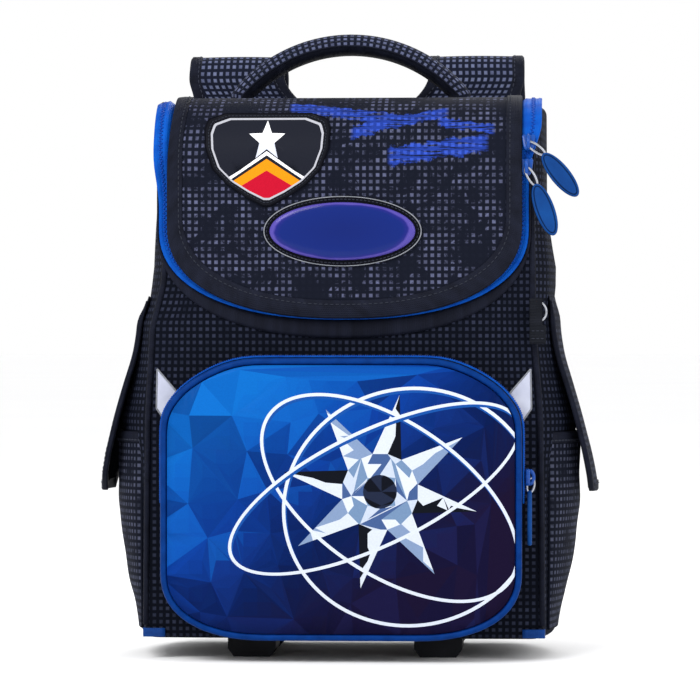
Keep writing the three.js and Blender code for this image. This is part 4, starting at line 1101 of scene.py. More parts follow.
def shield_colour(x, z):
    if not inside_polygon(x, z, field_edge):
        return "#a7a8b0"
    if inside_polygon(x, z, shield_star):
        return "#f2f2f4" if (x - SHIELD_X) * 0.3 + (z - SHIELD_LOW - STAR_UP) > -2 else "#c4c8d6"
    if inside_polygon(x, z, chevrons[0]):
        return "#d98412"
    if inside_polygon(x, z, chevrons[1]):
        return "#f4f4f6"
    return "#1b1d26" if z > SHIELD_LOW + 28 - abs(x - SHIELD_X) * 0.6 else "#ad1029"


shield = Pattern()
plate = [(1, 0), (1, 1.1), (0.985, 1.5), (0.965, 1.6)]
shield_middle = (SHIELD_X, SHIELD_LOW + SHIELD_H / 2)
loop = shield_outline(0)
rows = [[on_face(*between(shield_middle, p, scale), LID_FACE + rise) for p in loop] for scale, rise in plate]
shield.grid(rows, spaced(len(loop) + 1, len(rows), 2.0, 1.0), closed=True)
loose = [(SHIELD_X + i * 6, SHIELD_LOW + j * 6) for i in range(-7, 8) for j in range(11)]
painted_panel(shield, shield_outline(1.2), [field, field_edge, shield_star] + chevrons,
              [p for p in loose if inside_polygon(*p, field)],
              lambda x, z: shield_colour(x, z) if inside_polygon(x, z, field) else "#111218",
              lambda x, z: on_face(x, z, LID_FACE + 1.65), slot=1)
shield_line = [on_face(x, s, LID_FACE + 1.7) for x, s in shield_outline(3.0)]
stitches(shield, shield_line + shield_line[:1], face_out, pitch=2.4, length=1.8, width=0.6, height=0.3, slot=2)
shield.colours = [c if c is not None else (0.01, 0.01, 0.012, 1) for c in shield.colours]
dress(shield.build("shield_sewn_patch", lining_cloth, patch_film, stitch_thread), "black_cloth", "shield_patch")

# %% [markdown]
# Front pocket
# The pocket is a shallow box of cloth: a padded, domed front in printed film cloth, a blue piping
# in its edge seam, and a gusset with a zip over its top. The dome follows one rule, 5 mm high in the
# middle, falling with the square of the way out, which is how foam under stretched cloth looks.
# The print is a plain drawing made for this bag: facets of blue going from bright to deep, a
# faceted star, and pale curved lines that cross it.

# %% Pocket outline and dome
POCKET_W, POCKET_H, POCKET_BASE = 236, 186, 14.5
POCKET_MID = POCKET_BASE + POCKET_H / 2
POCKET_FRONT, POCKET_EDGE = -109, -104.3
CORNER_W, CORNER_H = 70, 44
PRINT_INSET = 4.7


def pocket_line(inset, steps=16, runs=10):
    """The pocket's rounded outline as a closed loop of (x, z), drawn in by inset. Its top sags a
    little, and its top corners most, as sewn cloth does."""
    half_w, half_h = POCKET_W / 2 - inset, POCKET_H / 2 - inset
    corner_w, corner_h = CORNER_W - inset, CORNER_H - inset
    corner = []
    for k in range(steps + 1):
        turn = k / steps * math.pi / 2
        reach = corner_w * math.cos(turn) ** (2 / FULLNESS) if k < steps else 0
        corner.append((half_w - corner_w + reach, half_h - corner_h + corner_h * math.sin(turn) ** (2 / FULLNESS)))
    side = [(half_w, (half_h - corner_h) * k / runs) for k in range(runs)]
    top = [((half_w - corner_w) * (1 - k / runs), half_h) for k in range(1, runs + 1)]
    quarter = side + corner + top
    upper = quarter + [(-x, z) for x, z in reversed(quarter[:-1])]
    loop = upper + [(-x, -z) for x, z in upper[1:-1]]
    sag = [3.0 * smooth(z / half_h, 0.45, 0.8) * smooth(abs(x) / half_w, 0.5, 0.9) for x, z in loop]
    return [(x - math.copysign(g, x), POCKET_MID + z - g - 1.7 * smooth(z / half_h, 0.5, 1))
            for (x, z), g in zip(loop, sag)]


def pocket_share(x, z):
    """How far out a place lies: 0 in the middle of the pocket and 1 on its edge, found by halving."""
    half_w, half_h = POCKET_W / 2 - PRINT_INSET, POCKET_H / 2 - PRINT_INSET
    flat_w, flat_h = POCKET_W / 2 - CORNER_W, POCKET_H / 2 - CORNER_H
    low, high = 0.0, 1.2
    for _ in range(18):
        f = (low + high) / 2
        u, v = abs(x) / max(f, 1e-6), abs(z - POCKET_MID) / max(f, 1e-6)
        if u > flat_w and v > flat_h:
            over_w, over_h = (u - flat_w) / (half_w - flat_w), (v - flat_h) / (half_h - flat_h)
            inside = over_w ** FULLNESS + over_h ** FULLNESS <= 1
        else:
            inside = u <= half_w and v <= half_h
        low, high = (low, f) if inside else (f, high)
    return min(high, 1)


def pocket_dome(x, z):
    share = pocket_share(x, z)
    return (x, POCKET_FRONT - 5 * (1 - share * share), z)


# %% The pocket's drawing
draw = random.Random(7)
pocket_edge = pocket_line(PRINT_INSET)
coarse = [(x + draw.uniform(-9, 9), z + draw.uniform(-8, 8))
          for x in range(-120, 121, 27) for z in range(10, 210, 25)]
facet_points, facet_faces = triangulate([], coarse)
facet_shade = [draw.uniform(-1, 1) for _ in facet_faces]
STAR_X, STAR_Z, STAR_TURN, HUB = 26, 112, 0.2, 11
big_star = star(STAR_X, STAR_Z, 64, 25, 8, STAR_TURN)
core = star(STAR_X, STAR_Z, 25, 25, 8, STAR_TURN)


def orbit(cx, cz, a, b, turn, count=110):
    """An oval ring, turned, as a closed loop."""
    spots = [(a * math.cos(t), b * math.sin(t)) for t in turns(count)]
    return [(cx + x * math.cos(turn) - z * math.sin(turn), cz + x * math.sin(turn) + z * math.cos(turn))
            for x, z in spots]


orbits = []
for cx, cz, a, b, turn in ((STAR_X - 4, STAR_Z + 2, 104, 38, 0.45), (STAR_X + 6, STAR_Z - 4, 96, 50, -0.6),
                           (STAR_X + 20, STAR_Z - 10, 84, 78, 0.2)):
    orbits.append((orbit(cx, cz, a, b, turn), orbit(cx, cz, a - 2.2, b - 2.2, turn),
                   orbit(cx + 0.8, cz - 1.6, a - 2.4, b - 2.4, turn)))


def blend_hex(a, b, share):
    """A colour between two hex colours."""
    parts = [round(mix(int(a[k:k + 2], 16), int(b[k:k + 2], 16), clamp(share))) for k in (1, 3, 5)]
    return "#" + "".join(f"{p:02x}" for p in parts)


def facet_at(x, z):
    """Which blue facet a place is in."""
    for index, (a, b, c) in enumerate(facet_faces):
        if geometry.intersect_point_tri_2d((x, z), facet_points[a], facet_points[b], facet_points[c]):
            return index
    return 0


FALL = ((0.0, "#0757a6"), (0.4, "#063384"), (0.7, "#041748"), (1.0, "#130b26"))  # from bright to deep


def pocket_colour(x, z):
    """The colour at a place: a loop over the star, the star over the facets."""
    for outer, inner, shadow in orbits:
        if inside_polygon(x, z, outer):
            if not inside_polygon(x, z, inner):
                return "#c3cad8"
            if not inside_polygon(x, z, shadow):
                return "#14468e"
    if inside_polygon(x, z, big_star):
        dx, dz = x - STAR_X, z - STAR_Z
        turn = (math.atan2(dx, dz) - STAR_TURN) % (2 * math.pi)
        facet = int(turn / (math.pi / 8))
        if math.hypot(dx, dz) < HUB:
            return "#0c0f18" if facet % 4 < 2 else "#1d2438"
        if inside_polygon(x, z, core):
            return ("#b2bccc", "#667f9f", "#c6ccd6", "#3c5380")[facet % 4]
        return "#c0c7d2" if facet % 2 else ("#0d1018" if facet % 4 == 0 else "#7488a8")
    shade = facet_shade[facet_at(x, z)]
    along = clamp(0.52 + (x + 20) / 260 - (z - POCKET_MID) / 195)
    (start, light), (end, deep) = next((a, b) for a, b in zip(FALL, FALL[1:]) if along < b[0] or b is FALL[-1])
    base = blend_hex(light, deep, (along - start) / (end - start))
    if shade > 0:
        return blend_hex(base, "#1272c4" if along < 0.5 else "#12307e", shade * 0.3)
    return blend_hex(base, "#020c34", -shade * 0.4)


pocket = Pattern()
fine = [(x, z) for x in range(-108, 109, 9) for z in range(22, 196, 9) if pocket_share(x, z) < 0.96]
lines = [big_star, core, orbit(STAR_X, STAR_Z, HUB, HUB, 0, 24)]
lines += [[facet_points[k] for k in face] for face in facet_faces]
lines += [line for group in orbits for line in group]
painted_panel(pocket, pocket_edge, lines, fine, pocket_colour, pocket_dome)
skirt = [[(x, y, z) for x, z in pocket_edge] for y in (POCKET_FRONT, POCKET_EDGE - 2, POCKET_EDGE)]
pocket.grid(skirt, [[(k * 6.0, y) for k in range(len(pocket_edge) + 1)] for y in (0, 2.7, 4.7)],
            closed=True)
pocket.colours = [c if c is not None else srgb("#0b3c9c") for c in pocket.colours]
pocket_front = pocket.build("pocket_printed_front", pocket_film, lining_cloth)
thicken(pocket_front, 2.2, material_offset=1)
dress(pocket_front, "blue_print", "front_pocket")

# %% Gusset, piping and pocket zip
gusset_line, rebate_line = pocket_line(0), pocket_line(4.6)
gusset = Pattern()
run = lengths([(x, 0, z) for x, z in gusset_line + gusset_line[:1]])
rows = [[(x, mix(FRONT_Y - crown(x) - GAP, POCKET_EDGE, share), z) for x, z in gusset_line]
        for share in (0, 0.25, 0.5, 0.75, 0.97)]
turned_in = [between(a, b, 0.08) for a, b in zip(gusset_line, rebate_line)]
rows.append([(x, POCKET_EDGE - 0.02, z) for x, z in turned_in])
rows.append([(x, POCKET_EDGE, z) for x, z in rebate_line])
gusset.grid(rows, [[(r, 7 * k) for r in run] for k in range(len(rows))], closed=True)
gusset_cloth = gusset.build("pocket_gusset", body_print_with_painted_shade, lining_cloth)
thicken(gusset_cloth, 2.0, material_offset=1)
dress(gusset_cloth, "printed_cloth", "front_pocket")

PIPE = 2.2
cord_y = POCKET_EDGE - GAP - PIPE
pocket_cord = cord(Pattern(), [(x, cord_y, z) for x, z in pocket_line(PIPE)], (0, 1, 0), PIPE, sides=14,
                   loop=True)
dress(pocket_cord.build("pocket_blue_piping", piping_cloth), "blue_cloth", "pocket_piping")

ZIP_Y = POCKET_EDGE + 3 + 5.5
ZIP_END, ZIP_WIDE = 104, 11
upper = [p for p in gusset_line if p[1] > POCKET_MID + 1]
zip_route = [(POCKET_W / 2, ZIP_END)] + upper + [(-POCKET_W / 2, ZIP_END)]


def zip_frame(i):
    """The way off the gusset at a point of the zip, as (x, z)."""
    a, b = zip_route[max(i - 1, 0)], zip_route[min(i + 1, len(zip_route) - 1)]
    run = math.hypot(b[0] - a[0], b[1] - a[1])
    return (b[1] - a[1]) / run, -(b[0] - a[0]) / run


pocket_zip = Pattern()
section = [(-0.5, 0.35), (0.5, 0.35), (0.5, 1.1), (0.16, 1.4), (-0.16, 1.4), (-0.5, 1.1)]
run = lengths([(x, 0, z) for x, z in zip_route])
rows, chain = [], []
for i, (x, z) in enumerate(zip_route):
    nx, nz = zip_frame(i)
    rows.append([(x + out * nx, ZIP_Y + across * ZIP_WIDE, z + out * nz) for across, out in section])
    chain.append((x + 1.3 * nx, ZIP_Y, z + 1.3 * nz))
pocket_zip.grid(rows, by_run(run, 7, 2.0), closed=True, caps=True)


def zip_out(point):
    k = min(range(len(chain)), key=lambda n: math.dist(chain[n], point))
    return Vector((zip_frame(k)[0], 0, zip_frame(k)[1]))


zip_teeth(pocket_zip, chain, zip_out, 1.5, 2.6, 0.7, 1)
dress(pocket_zip.build("pocket_zip_tape", zip_tape, zip_coil), "blue_cloth", "pocket_zip")

# %% [markdown]
# Side pockets and their flaps
# Each side pocket is one sheet sewn down along its foot and sides, gathered by elastic at its top
# so that it gapes. The gathers are small waves that die out below the hem. Over it hangs a cover
# flap of the same cloth, lined in black and bound round its edge, that stands away at its foot.

# %% Side pockets
POCKET_RISE = [(0, 0), (0.115, 0.19), (0.27, 0.55), (0.45, 0.82), (0.64, 1), (1, 1)]
POCKET_FOOT, POCKET_TALL, STAND_OFF = 19, 130, 15.5
HEM = [(1.0, -1.7), (1.004, 0.2), (0.995, 0.7), (0.955, 0.7), (0.95, 0.1)]  # (share of the height, off)


def side_pocket_at(side, share, across, off=0.0):
    """A place on the side pocket's outer face: share up its height, across from front to back."""
    y = mix(SIDE_FRONT_Y, SIDE_BACK_Y, mix(1 / 12, 11 / 12, across))
    z = POCKET_FOOT + share * POCKET_TALL
    rise = soft_read(POCKET_RISE, share, 0.03)
    gape = max(math.sin(math.pi * clamp(across)), 0) ** 0.6
    gather = 0.55 * math.sin(across * 46 + 1.5 * math.sin(across * 17)) * smooth(share, 0.55, 0.93) * gape
    crease = 0.8 * noise.noise(Vector((across * 2.2, share * 7.0, side * 3.1))) * smooth(share, 0.03, 0.2) * gape
    out = GAP + STAND_OFF * rise * gape + 2 + gather + crease - 0.6
    return (side * (side_at(y, z) + out + off), y, z)


for name, side in SIDES:
    pocket_side = Pattern()
    rows = [[side_pocket_at(side, i / 36, j / 60) for j in range(61)] for i in range(37)]
    pocket_side.grid(rows, spaced(61, 37, 2.25, 3.6))
    made = pocket_side.build(f"side_pocket_cloth_{name}", flap_print, lining_cloth)
    if made.data.polygons[0].normal.x * side < 0:
        made.data.flip_normals()
    thicken(made, 1.6, material_offset=1)
    dress(made, "printed_cloth", f"side_pocket_{name}")
    hem = Pattern()
    hem.grid([[side_pocket_at(side, share, j / 60, off) for j in range(61)] for share, off in HEM],
             spaced(61, len(HEM), 2.25, 1.6))
    stitches(hem, [side_pocket_at(side, 0.962, j / 60, 0.75) for j in range(61)], (side, 0, 0), slot=1)
    hem_piece = hem.build(f"side_pocket_hem_{name}", binding_tape, stitch_thread)
    thicken(hem_piece, 0.5, offset=0)
    dress(hem_piece, "black_cloth")

# %% Side flaps
FLAP_STAND = [(0, 0), (0.18, 0.03), (0.31, 0.14), (0.43, 0.32), (0.62, 0.6), (0.8, 0.83), (0.92, 0.95), (1, 1)]
FLAP_LENGTH = [(0.62, 1), (0.8, 0.96), (0.92, 0.82), (1, 0.5)]
FLAP_MIDDLE = 1.9  # millimetres from the inner face to the middle of the cloth
FLAP_TOP, FLAP_DROP, FLAP_FLARE, FLAP_LONG = 240, 130, 25.5, 92
FLAP_Y = (SIDE_FRONT_Y + SIDE_BACK_Y) / 2 + 4


def flap_at(side, drop, f, off=0.0):
    """A place on a flap: drop down from its hinge, f across from -1 to 1, off its inner face."""
    flare = soft_read(FLAP_STAND, drop, 0.035)
    z = FLAP_TOP - drop * FLAP_DROP
    y = FLAP_Y + f * FLAP_LONG * read_table(FLAP_LENGTH, drop) / 2
    straight = side_at(FLAP_Y, z) - 3 * f * f
    base = mix(side_at(y, z), straight, min(drop * 1.4, 1)) + 0.8
    wave = 0.6 * noise.noise(Vector((f * 1.7, drop * 3.0, side * 5.0))) * smooth(drop, 0.1, 0.4)
    tuck = (4.5 if side < 0 else 0.6) * (1 - smooth(drop, 0, 0.16))
    return (side * (base + flare * FLAP_FLARE - tuck + off + wave), y, z)


# the binding's section: how far in over the flap, and how far off its middle
FOLDED = ((-0.6, -1.4), (-0.6, 1.4), (0.3, 1.8), (6.0, 1.8), (6.2, 1.4), (6.2, -1.4), (6.0, -1.8), (0.3, -1.8))
for name, side in SIDES:
    flap = Pattern()
    outer = [[flap_at(side, i / 40, j / 15 - 1, 0.5 + 2.9 * smooth(i / 40, -0.02, 0.12)) for j in range(31)]
             for i in range(41)]
    inner = [[flap_at(side, i / 40, j / 15 - 1, 0.4) for j in range(31)] for i in range(41)]
    places = [[((j / 15 - 1) * 46, i * 3.4) for j in range(31)] for i in range(41)]
    slab(flap, outer, inner, places, 3.0, 3.5)
    flap_piece = flap.build(f"side_flap_cloth_{name}", flap_print, lining_cloth)
    dress(flap_piece, "printed_cloth", f"side_flap_{name}")
    edge = ([(i / 40, -1) for i in range(1, 41)] + [(1, j / 15 - 1) for j in range(1, 30)]
            + [(i / 40, 1) for i in range(40, 0, -1)])
    line = [flap_at(side, drop, f, FLAP_MIDDLE) for drop, f in edge]
    bind, rows = Pattern(), []
    for k, (drop, f) in enumerate(edge):
        centre = Vector(line[k])
        way = (Vector(line[min(k + 1, len(line) - 1)]) - Vector(line[max(k - 1, 0)])).normalized()
        off = Vector(flap_at(side, drop, f, FLAP_MIDDLE + 1)) - centre
        off = (off - way * off.dot(way)).normalized()
        inward = off.cross(way).normalized()
        toward = Vector(flap_at(side, min(drop, 0.9), f * 0.8, FLAP_MIDDLE)) - centre
        inward = inward if inward.dot(toward) > 0 else -inward
        thin = 0.35 + 0.65 * smooth(drop, 0.0, 0.15)
        rows.append([centre + inward * a + off * (b * thin) for a, b in FOLDED])
    bind.grid(rows, by_run(lengths(line), 9, 1.5), closed=True, caps=True)
    seam = [mix(Vector(row[3]), Vector(row[2]), 0.3) for row in rows]
    stitches(bind, seam, (side, 0, 0.25), slot=1)
    dress(bind.build(f"side_flap_binding_{name}", binding_tape, pale_thread), "black_cloth")

# %% [markdown]
# Carry handle
# The handle is a padded bow: printed cloth over foam on its upper half, plain black tape below where
# the fingers go, with a welt on each seam. It is a swept oval that is fullest at the top of the bow
# and narrows where it is sewn into slots in the bag's top panel.

# %% Handle
HANDLE_PEAK, HANDLE_Y, HANDLE_SPAN = 412.6, 12, 154
HANDLE_THICK, HANDLE_WIDE = 14.5, 28
handle_foot = BODY_TOP + 0.3
half_chord = HANDLE_SPAN / 2 - HANDLE_THICK / 2 + 5.5
bow_rise = HANDLE_PEAK - (handle_foot + 12)
bow_radius = (half_chord ** 2 + bow_rise ** 2) / (2 * bow_rise)
bow_sweep = math.asin(half_chord / bow_radius)
# rows of (x, z, lean, fullness) from the left foot to the right
handle_axis = [(-half_chord, handle_foot, -math.pi / 2, 0.8), (-half_chord, handle_foot + 5, -1.35, 0.92)]
for k in range(45):
    tilt, out = mix(-bow_sweep, bow_sweep, k / 44), abs(k / 22 - 1)
    handle_axis.append((bow_radius * math.sin(tilt), HANDLE_PEAK - bow_radius * (1 - math.cos(tilt)),
                        tilt * (1 + 0.5 * smooth(out, 0.85, 1)), 1 - 0.04 * out ** 2))
handle_axis += [(half_chord, handle_foot + 5, 1.35, 0.92), (half_chord, handle_foot, math.pi / 2, 0.8)]
HANDLE_SIDES = 32
rows, places, welts, run = [], [], ([], []), 0.0
for k, (x, z, tilt, full) in enumerate(handle_axis):
    ring = []
    for turn in turns(HANDLE_SIDES):
        across = HANDLE_WIDE / 2 * math.copysign(abs(math.cos(turn)) ** 0.85, math.cos(turn)) * (0.94 + 0.06 * full)
        out = HANDLE_THICK / 2 * full * math.copysign(abs(math.sin(turn)) ** 0.9, math.sin(turn))
        ring.append((x + out * math.sin(tilt), HANDLE_Y + across, z + out * math.cos(tilt)))
    rows.append(ring)
    run += math.dist(handle_axis[k][:2], handle_axis[k - 1][:2]) if k else 0
    places.append([(n / HANDLE_SIDES * 66, run) for n in range(HANDLE_SIDES + 1)])
    for welt, n in zip(welts, (HANDLE_SIDES - 3, HANDLE_SIDES // 2 + 1)):
        welt.append(ring[n])
handle = Pattern()
handle.grid(rows, places, closed=True, caps=True,
            slot=lambda i, n: 0 if (n + 3) % HANDLE_SIDES < HANDLE_SIDES // 2 + 4 else 1)
for welt in welts:
    cord(handle, welt, (0, 1, 0), 0.7, sides=8, slot=1)
for n, lift in ((HANDLE_SIDES - 1, 1), (HANDLE_SIDES // 2 - 1, -1)):
    seam = [ring[n] for ring in rows[2:-2]]
    stitches(handle, seam, (0, lift, 0.2), slot=2)
handle_pad = handle.build("handle_padded_grip", lid_plain, binding_tape, stitch_thread)
dress(handle_pad, "printed_cloth", "handle")

# %% [markdown]
# Shoulder straps
# A strap is 8 mm foam between printed cloth outside and spacer mesh inside, bound along both edges
# with folded tape. It comes out of the back under the top edge, bends over, and runs down behind.
# It is modelled directly along its route, since a flat strap keeps its width and only bends.

# %% Strap route and section
STRAP_THICK, STRAP_X, STRAP_PEAK, BEND = 8, 84, 412, 15
strap_y = BACK_Y + 0.3 + STRAP_THICK / 2
strap_far = strap_y + 2 * BEND
bend_z = STRAP_PEAK - STRAP_THICK / 2 - BEND
STRAP_END = 160
STRAP_W, SEAM_Z = 68, 352
# shares of the run down: (how far down, how far back, sideways, width)
DOWN_RUN = [(0.12, 1, 0.02, 1), (0.35, 0.95, 0.08, 0.98), (0.65, 0.8, 0.07, 0.86), (0.88, 0.66, 0.02, 0.7),
            (1, 0.62, 0, 0.6)]


def strap_route(side):
    """Rows of (x, y, z, width) from the seam under the bag's top edge to the buckle."""
    rows = [(side * (STRAP_X - inward), strap_y, mix(SEAM_Z, bend_z, rise), width)
            for inward, rise, width in ((20, 0, 100), (14.5, 0.4, 90), (5.5, 0.72, 73))]
    for a in map(math.radians, (180, 144, 108, 72, 36, 0)):
        rows.append((side * STRAP_X, strap_y + BEND * (1 + math.cos(a)), bend_z + BEND * math.sin(a), STRAP_W))
    for down, depth, offset, width in DOWN_RUN:
        rows.append((side * (STRAP_X + offset * STRAP_W), mix(strap_y, strap_far, depth),
                     mix(bend_z, STRAP_END, down), STRAP_W * width))
    return rounded(rows, 6)


def route_normals(route):
    """The way off a strap at each row, as (y, z)."""
    normals = []
    for k in range(len(route)):
        before, after = route[max(k - 1, 0)], route[min(k + 1, len(route) - 1)]
        run = math.hypot(after[1] - before[1], after[2] - before[2])
        normals.append(((after[2] - before[2]) / run, (before[1] - after[1]) / run))
    return normals


BIND = 8.5  # the width of the tape on a strap's edge
# (in from the edge, share of the half thickness, whether tape)
half_columns = [(0.0, 0.0, 1), (0.3, 0.62, 1), (1.6, 1.0, 1), (BIND - 0.6, 1.0, 1), (BIND, 0.86, 0)]
for name, side in SIDES:
    route = strap_route(side)
    normals = route_normals(route)
    run = lengths([(x, y, z) for x, y, z, w in route])
    rows, places, slots = [], [], []
    for (x, y, z, width), (ny, nz), r in zip(route, normals, run):
        half, ring, flat, kinds = width / 2, [], [], []
        for sign in (-1, 1):
            face = [(-half + d, sign * o, s) for d, o, s in half_columns]
            face += [(mix(-half + BIND, half - BIND, m / 8), sign * (0.86 + 0.11 * math.sin(math.pi * m / 8)), 0)
                     for m in range(1, 8)]
            face += [(half - d, sign * o, s) for d, o, s in half_columns[::-1]]
            face = face[:-1] if sign < 0 else face[::-1][:-1]
            for across, out, kind in face:
                off = out * STRAP_THICK / 2
                ring.append((x + across, y + off * ny, z + off * nz))
                flat.append((across + (200 if sign > 0 else 0), r))
                kinds.append(2 if kind else 0 if sign < 0 else 1)
        rows.append(ring)
        places.append(flat + [flat[0]])
        slots = kinds
    count = len(slots)
    strap = Pattern()

    def strap_slot(i, j):
        a, b = slots[j], slots[(j + 1) % count]
        return a if a == b else 2

    strap.grid(rows, places, closed=True, caps=True, slot=strap_slot)
    for sign in (-1, 1):
        line = [(x + sign * (w / 2 - BIND + 1.6), y - STRAP_THICK / 2 * ny, z - STRAP_THICK / 2 * nz)
                for (x, y, z, w), (ny, nz) in zip(route, normals)]

        def strap_out(point, line=line, normals=normals):
            k = min(range(len(line)), key=lambda n: math.dist(line[n], point))
            return Vector((0, -normals[k][0], -normals[k][1]))

        stitches(strap, line, strap_out, slot=3)
    made = strap.build(f"shoulder_strap_padded_{name}", strap_print, air_mesh, binding_tape, pale_thread)
    dress(made, "printed_cloth", f"shoulder_strap_{name}")

# %% [markdown]
# Webbing, buckles and anchors
# A flat woven webbing runs from a stitched anchor at the bag's foot through a ladder-lock buckle on
# each strap, and its free tail hangs down. The buckle is moulded acetal: its solid has the right
# shape, so it only gets a rounded edge and its finish.

# %% Webbing and anchors
LOCK_Y, LOCK_Z, LOCK_SKIN = mix(strap_y, strap_far, 0.62), STRAP_END - 0.3 - 15, 2.5 + 0.8 + 0.3
ANCHOR_Z, ANCHOR_HALF_W, ANCHOR_HALF_H, TAIL = 40, 17, 13, 48
SLOT_Z, WEB_FOOT = LOCK_Z + 6, ANCHOR_Z + ANCHOR_HALF_H + GAP
web_rows = [(BACK_Y + 1.8, WEB_FOOT), (BACK_Y + 1.8, WEB_FOOT + 3.2),
            (mix(strap_y, LOCK_Y, 0.25), mix(WEB_FOOT, LOCK_Z, 0.1)),
            (mix(strap_y, LOCK_Y, 0.7), mix(WEB_FOOT, LOCK_Z, 0.3)),
            (LOCK_Y - LOCK_SKIN, LOCK_Z - 19), (LOCK_Y - LOCK_SKIN, SLOT_Z - 1.8),
            (LOCK_Y - LOCK_SKIN * 0.55, SLOT_Z + 0.7), (LOCK_Y + LOCK_SKIN * 0.55, SLOT_Z + 0.7),
            (LOCK_Y + LOCK_SKIN, SLOT_Z - 1.8), (LOCK_Y + LOCK_SKIN, LOCK_Z - 15),
            (LOCK_Y + LOCK_SKIN + 2, LOCK_Z - 15 - TAIL)]
WEB_SECTION = [(-12.5, 0), (-12, -0.75), (12, -0.75), (12.5, 0), (12, 0.75), (-12, 0.75)]
ANCHOR_SECTION = [(1, 0.3), (1, 2.6), (0.97, 3.2), (0.6, 3.3)]
ANCHOR_ROUND = ((-1, -1), (0, -1), (1, -1), (1, 0), (1, 1), (0, 1), (-1, 1), (-1, 0))
# a box of stitches with a cross in it
CROSS_BOX = (((-13, -10), (13, -10)), ((13, -10), (13, 10)), ((13, 10), (-13, 10)), ((-13, 10), (-13, -10)),
             ((-13, -10), (13, 10)), ((-13, 10), (13, -10)))
for name, side in SIDES:
    web = Pattern()
    route = [(side * STRAP_X, y, z, 25) for y, z in web_rows]
    normals = route_normals(route)
    run = lengths([(x, y, z) for x, y, z, w in route])
    rows = [[(x + a, y + o * ny, z + o * nz) for a, o in WEB_SECTION]
            for (x, y, z, w), (ny, nz) in zip(route, normals)]
    web.grid(rows, by_run(run, 7, 4.1), closed=True, caps=True)
    dress(web.build(f"webbing_{name}", webbing_weave), "black_cloth", f"strap_webbing_{name}")
    anchor = Pattern()
    x0 = side * STRAP_X
    rows = [[(x0 + ANCHOR_HALF_W * s * cx, BACK_Y + o, ANCHOR_Z + ANCHOR_HALF_H * s * cz)
             for cx, cz in ANCHOR_ROUND] for s, o in ANCHOR_SECTION]
    anchor.grid(rows, spaced(9, 4, 6.0, 3.0), closed=True, caps=True)
    for ends in CROSS_BOX:
        line = [(x0 + x, BACK_Y + 3.3, ANCHOR_Z + h) for x, h in ends]
        stitches(anchor, line, (0, 1, 0), pitch=3.2, length=2.3, slot=1)
    dress(anchor.build(f"anchor_pad_{name}", webbing_weave, stitch_thread), "black_cloth", f"webbing_anchor_{name}")

# %% [markdown]
# Back panel
# The back that rests on the child is a board with four foam pads under spacer mesh, with channels
# between them for air, and a bound edge.

# %% Back panel
PANEL_W, PANEL_H, PANEL_BASE, PANEL_THICK, PAD = 226, 280, 66, 5, 9


def pad_rise(x, z):
    """How high the foam stands: four pads with a cross of air channels between them."""
    a, b = abs(x) / (PANEL_W / 2), (z - PANEL_BASE) / PANEL_H
    across = smooth(a, 0.14, 0.34) * (1 - smooth(a, 0.8, 0.97))
    low = smooth(b, 0.03, 0.12) * (1 - smooth(b, 0.4, 0.48))
    high = smooth(b, 0.52, 0.6) * (1 - smooth(b, 0.86, 0.95))
    return PAD * (across * max(low, high)) ** 0.8


def panel_at(u, v):
    """u and v run from -1 to 1 over a panel with rounded corners."""
    round_in = 0.06 * max(abs(v) - 0.8, 0) / 0.2
    x = u * PANEL_W / 2 * (1 - round_in * abs(v))
    z = PANEL_BASE + (v + 1) / 2 * PANEL_H
    return (x, BACK_Y + GAP + PANEL_THICK + pad_rise(x, z), z)


panel = Pattern()
columns, lines = 96, 118
rows = [[panel_at(2 * j / columns - 1, 2 * i / lines - 1) for j in range(columns + 1)] for i in range(lines + 1)]
back_rows = [[(x, BACK_Y + GAP, z) for x, y, z in row] for row in rows]
rim = slab(panel, rows, back_rows, [[(x, z) for x, y, z in row] for row in rows], 2.5, PANEL_THICK)
back_pads = panel.build("back_mesh_pads", air_mesh, binding_tape)
dress(back_pads, "air_mesh", "back_panel")
edge_tape = Pattern()
edge = [Vector(rows[i][j]) for i, j in rim]
middle = Vector((0, BACK_Y, PANEL_BASE + PANEL_H / 2))
EDGE_TAPE = ((-0.7, -4.6), (-0.8, 0.3), (0.2, 0.8), (7.0, 0.8), (7.2, 0.1))  # (inward, off the panel)
tape_rows, seam = [], []
for k, p in enumerate(edge):
    way = (edge[(k + 1) % len(edge)] - edge[k - 1]).normalized()
    inward = way.cross(Vector((0, 1, 0))).normalized()
    inward = inward if inward.dot(middle - p) > 0 else -inward
    tape_rows.append([p + Vector((0, o, 0)) + inward * d for d, o in EDGE_TAPE])
    seam.append(p + Vector((0, 0.85, 0)) + inward * 5.4)
edge_tape.grid(tape_rows, by_run(lengths(edge + edge[:1]), 5, 2.2), loop=True)
stitches(edge_tape, seam + seam[:1], (0, 1, 0), slot=1)
edge_piece = edge_tape.build("back_panel_binding", binding_tape, stitch_thread)
thicken(edge_piece, 0.5, offset=0)
dress(edge_piece, "black_cloth")

# %% [markdown]
# Small fittings
# The D-ring is bent steel wire in a loop of webbing. The pulls are oval rubber drops with a ring
# groove near their edge, and each hangs by a wire link from a painted slider. The corner tabs are
# crinkled nylon. The reflectors are film patches in pale piping. Feet and buckles keep their solids
# and get a small rounded edge.

# %% D-ring and its loop
RING_X, RING_Y, RING_MID, RING_HALF = 127, FRONT_Y - 2 - 0.3 - 2.3 - 1, 238 - 6.5 - 2.4, 6.2
ring_points = [(RING_X, RING_Y, RING_MID + rise) for rise in (-RING_HALF, 0, RING_HALF)]
for a in map(math.radians, (60, 30, 0, -30, -60)):
    ring_points.append((RING_X + 1 + 5.6 * math.cos(a), RING_Y, RING_MID + RING_HALF * math.sin(a)))
ring_route = rounded(ring_points + ring_points[:1], 5)[:-1]
d_ring = cord(Pattern(), ring_route, (0, 1, 0), 0.85, sides=14, loop=True)
dress(d_ring.build("d_ring_wire", plated_steel), "steel", "d_ring")

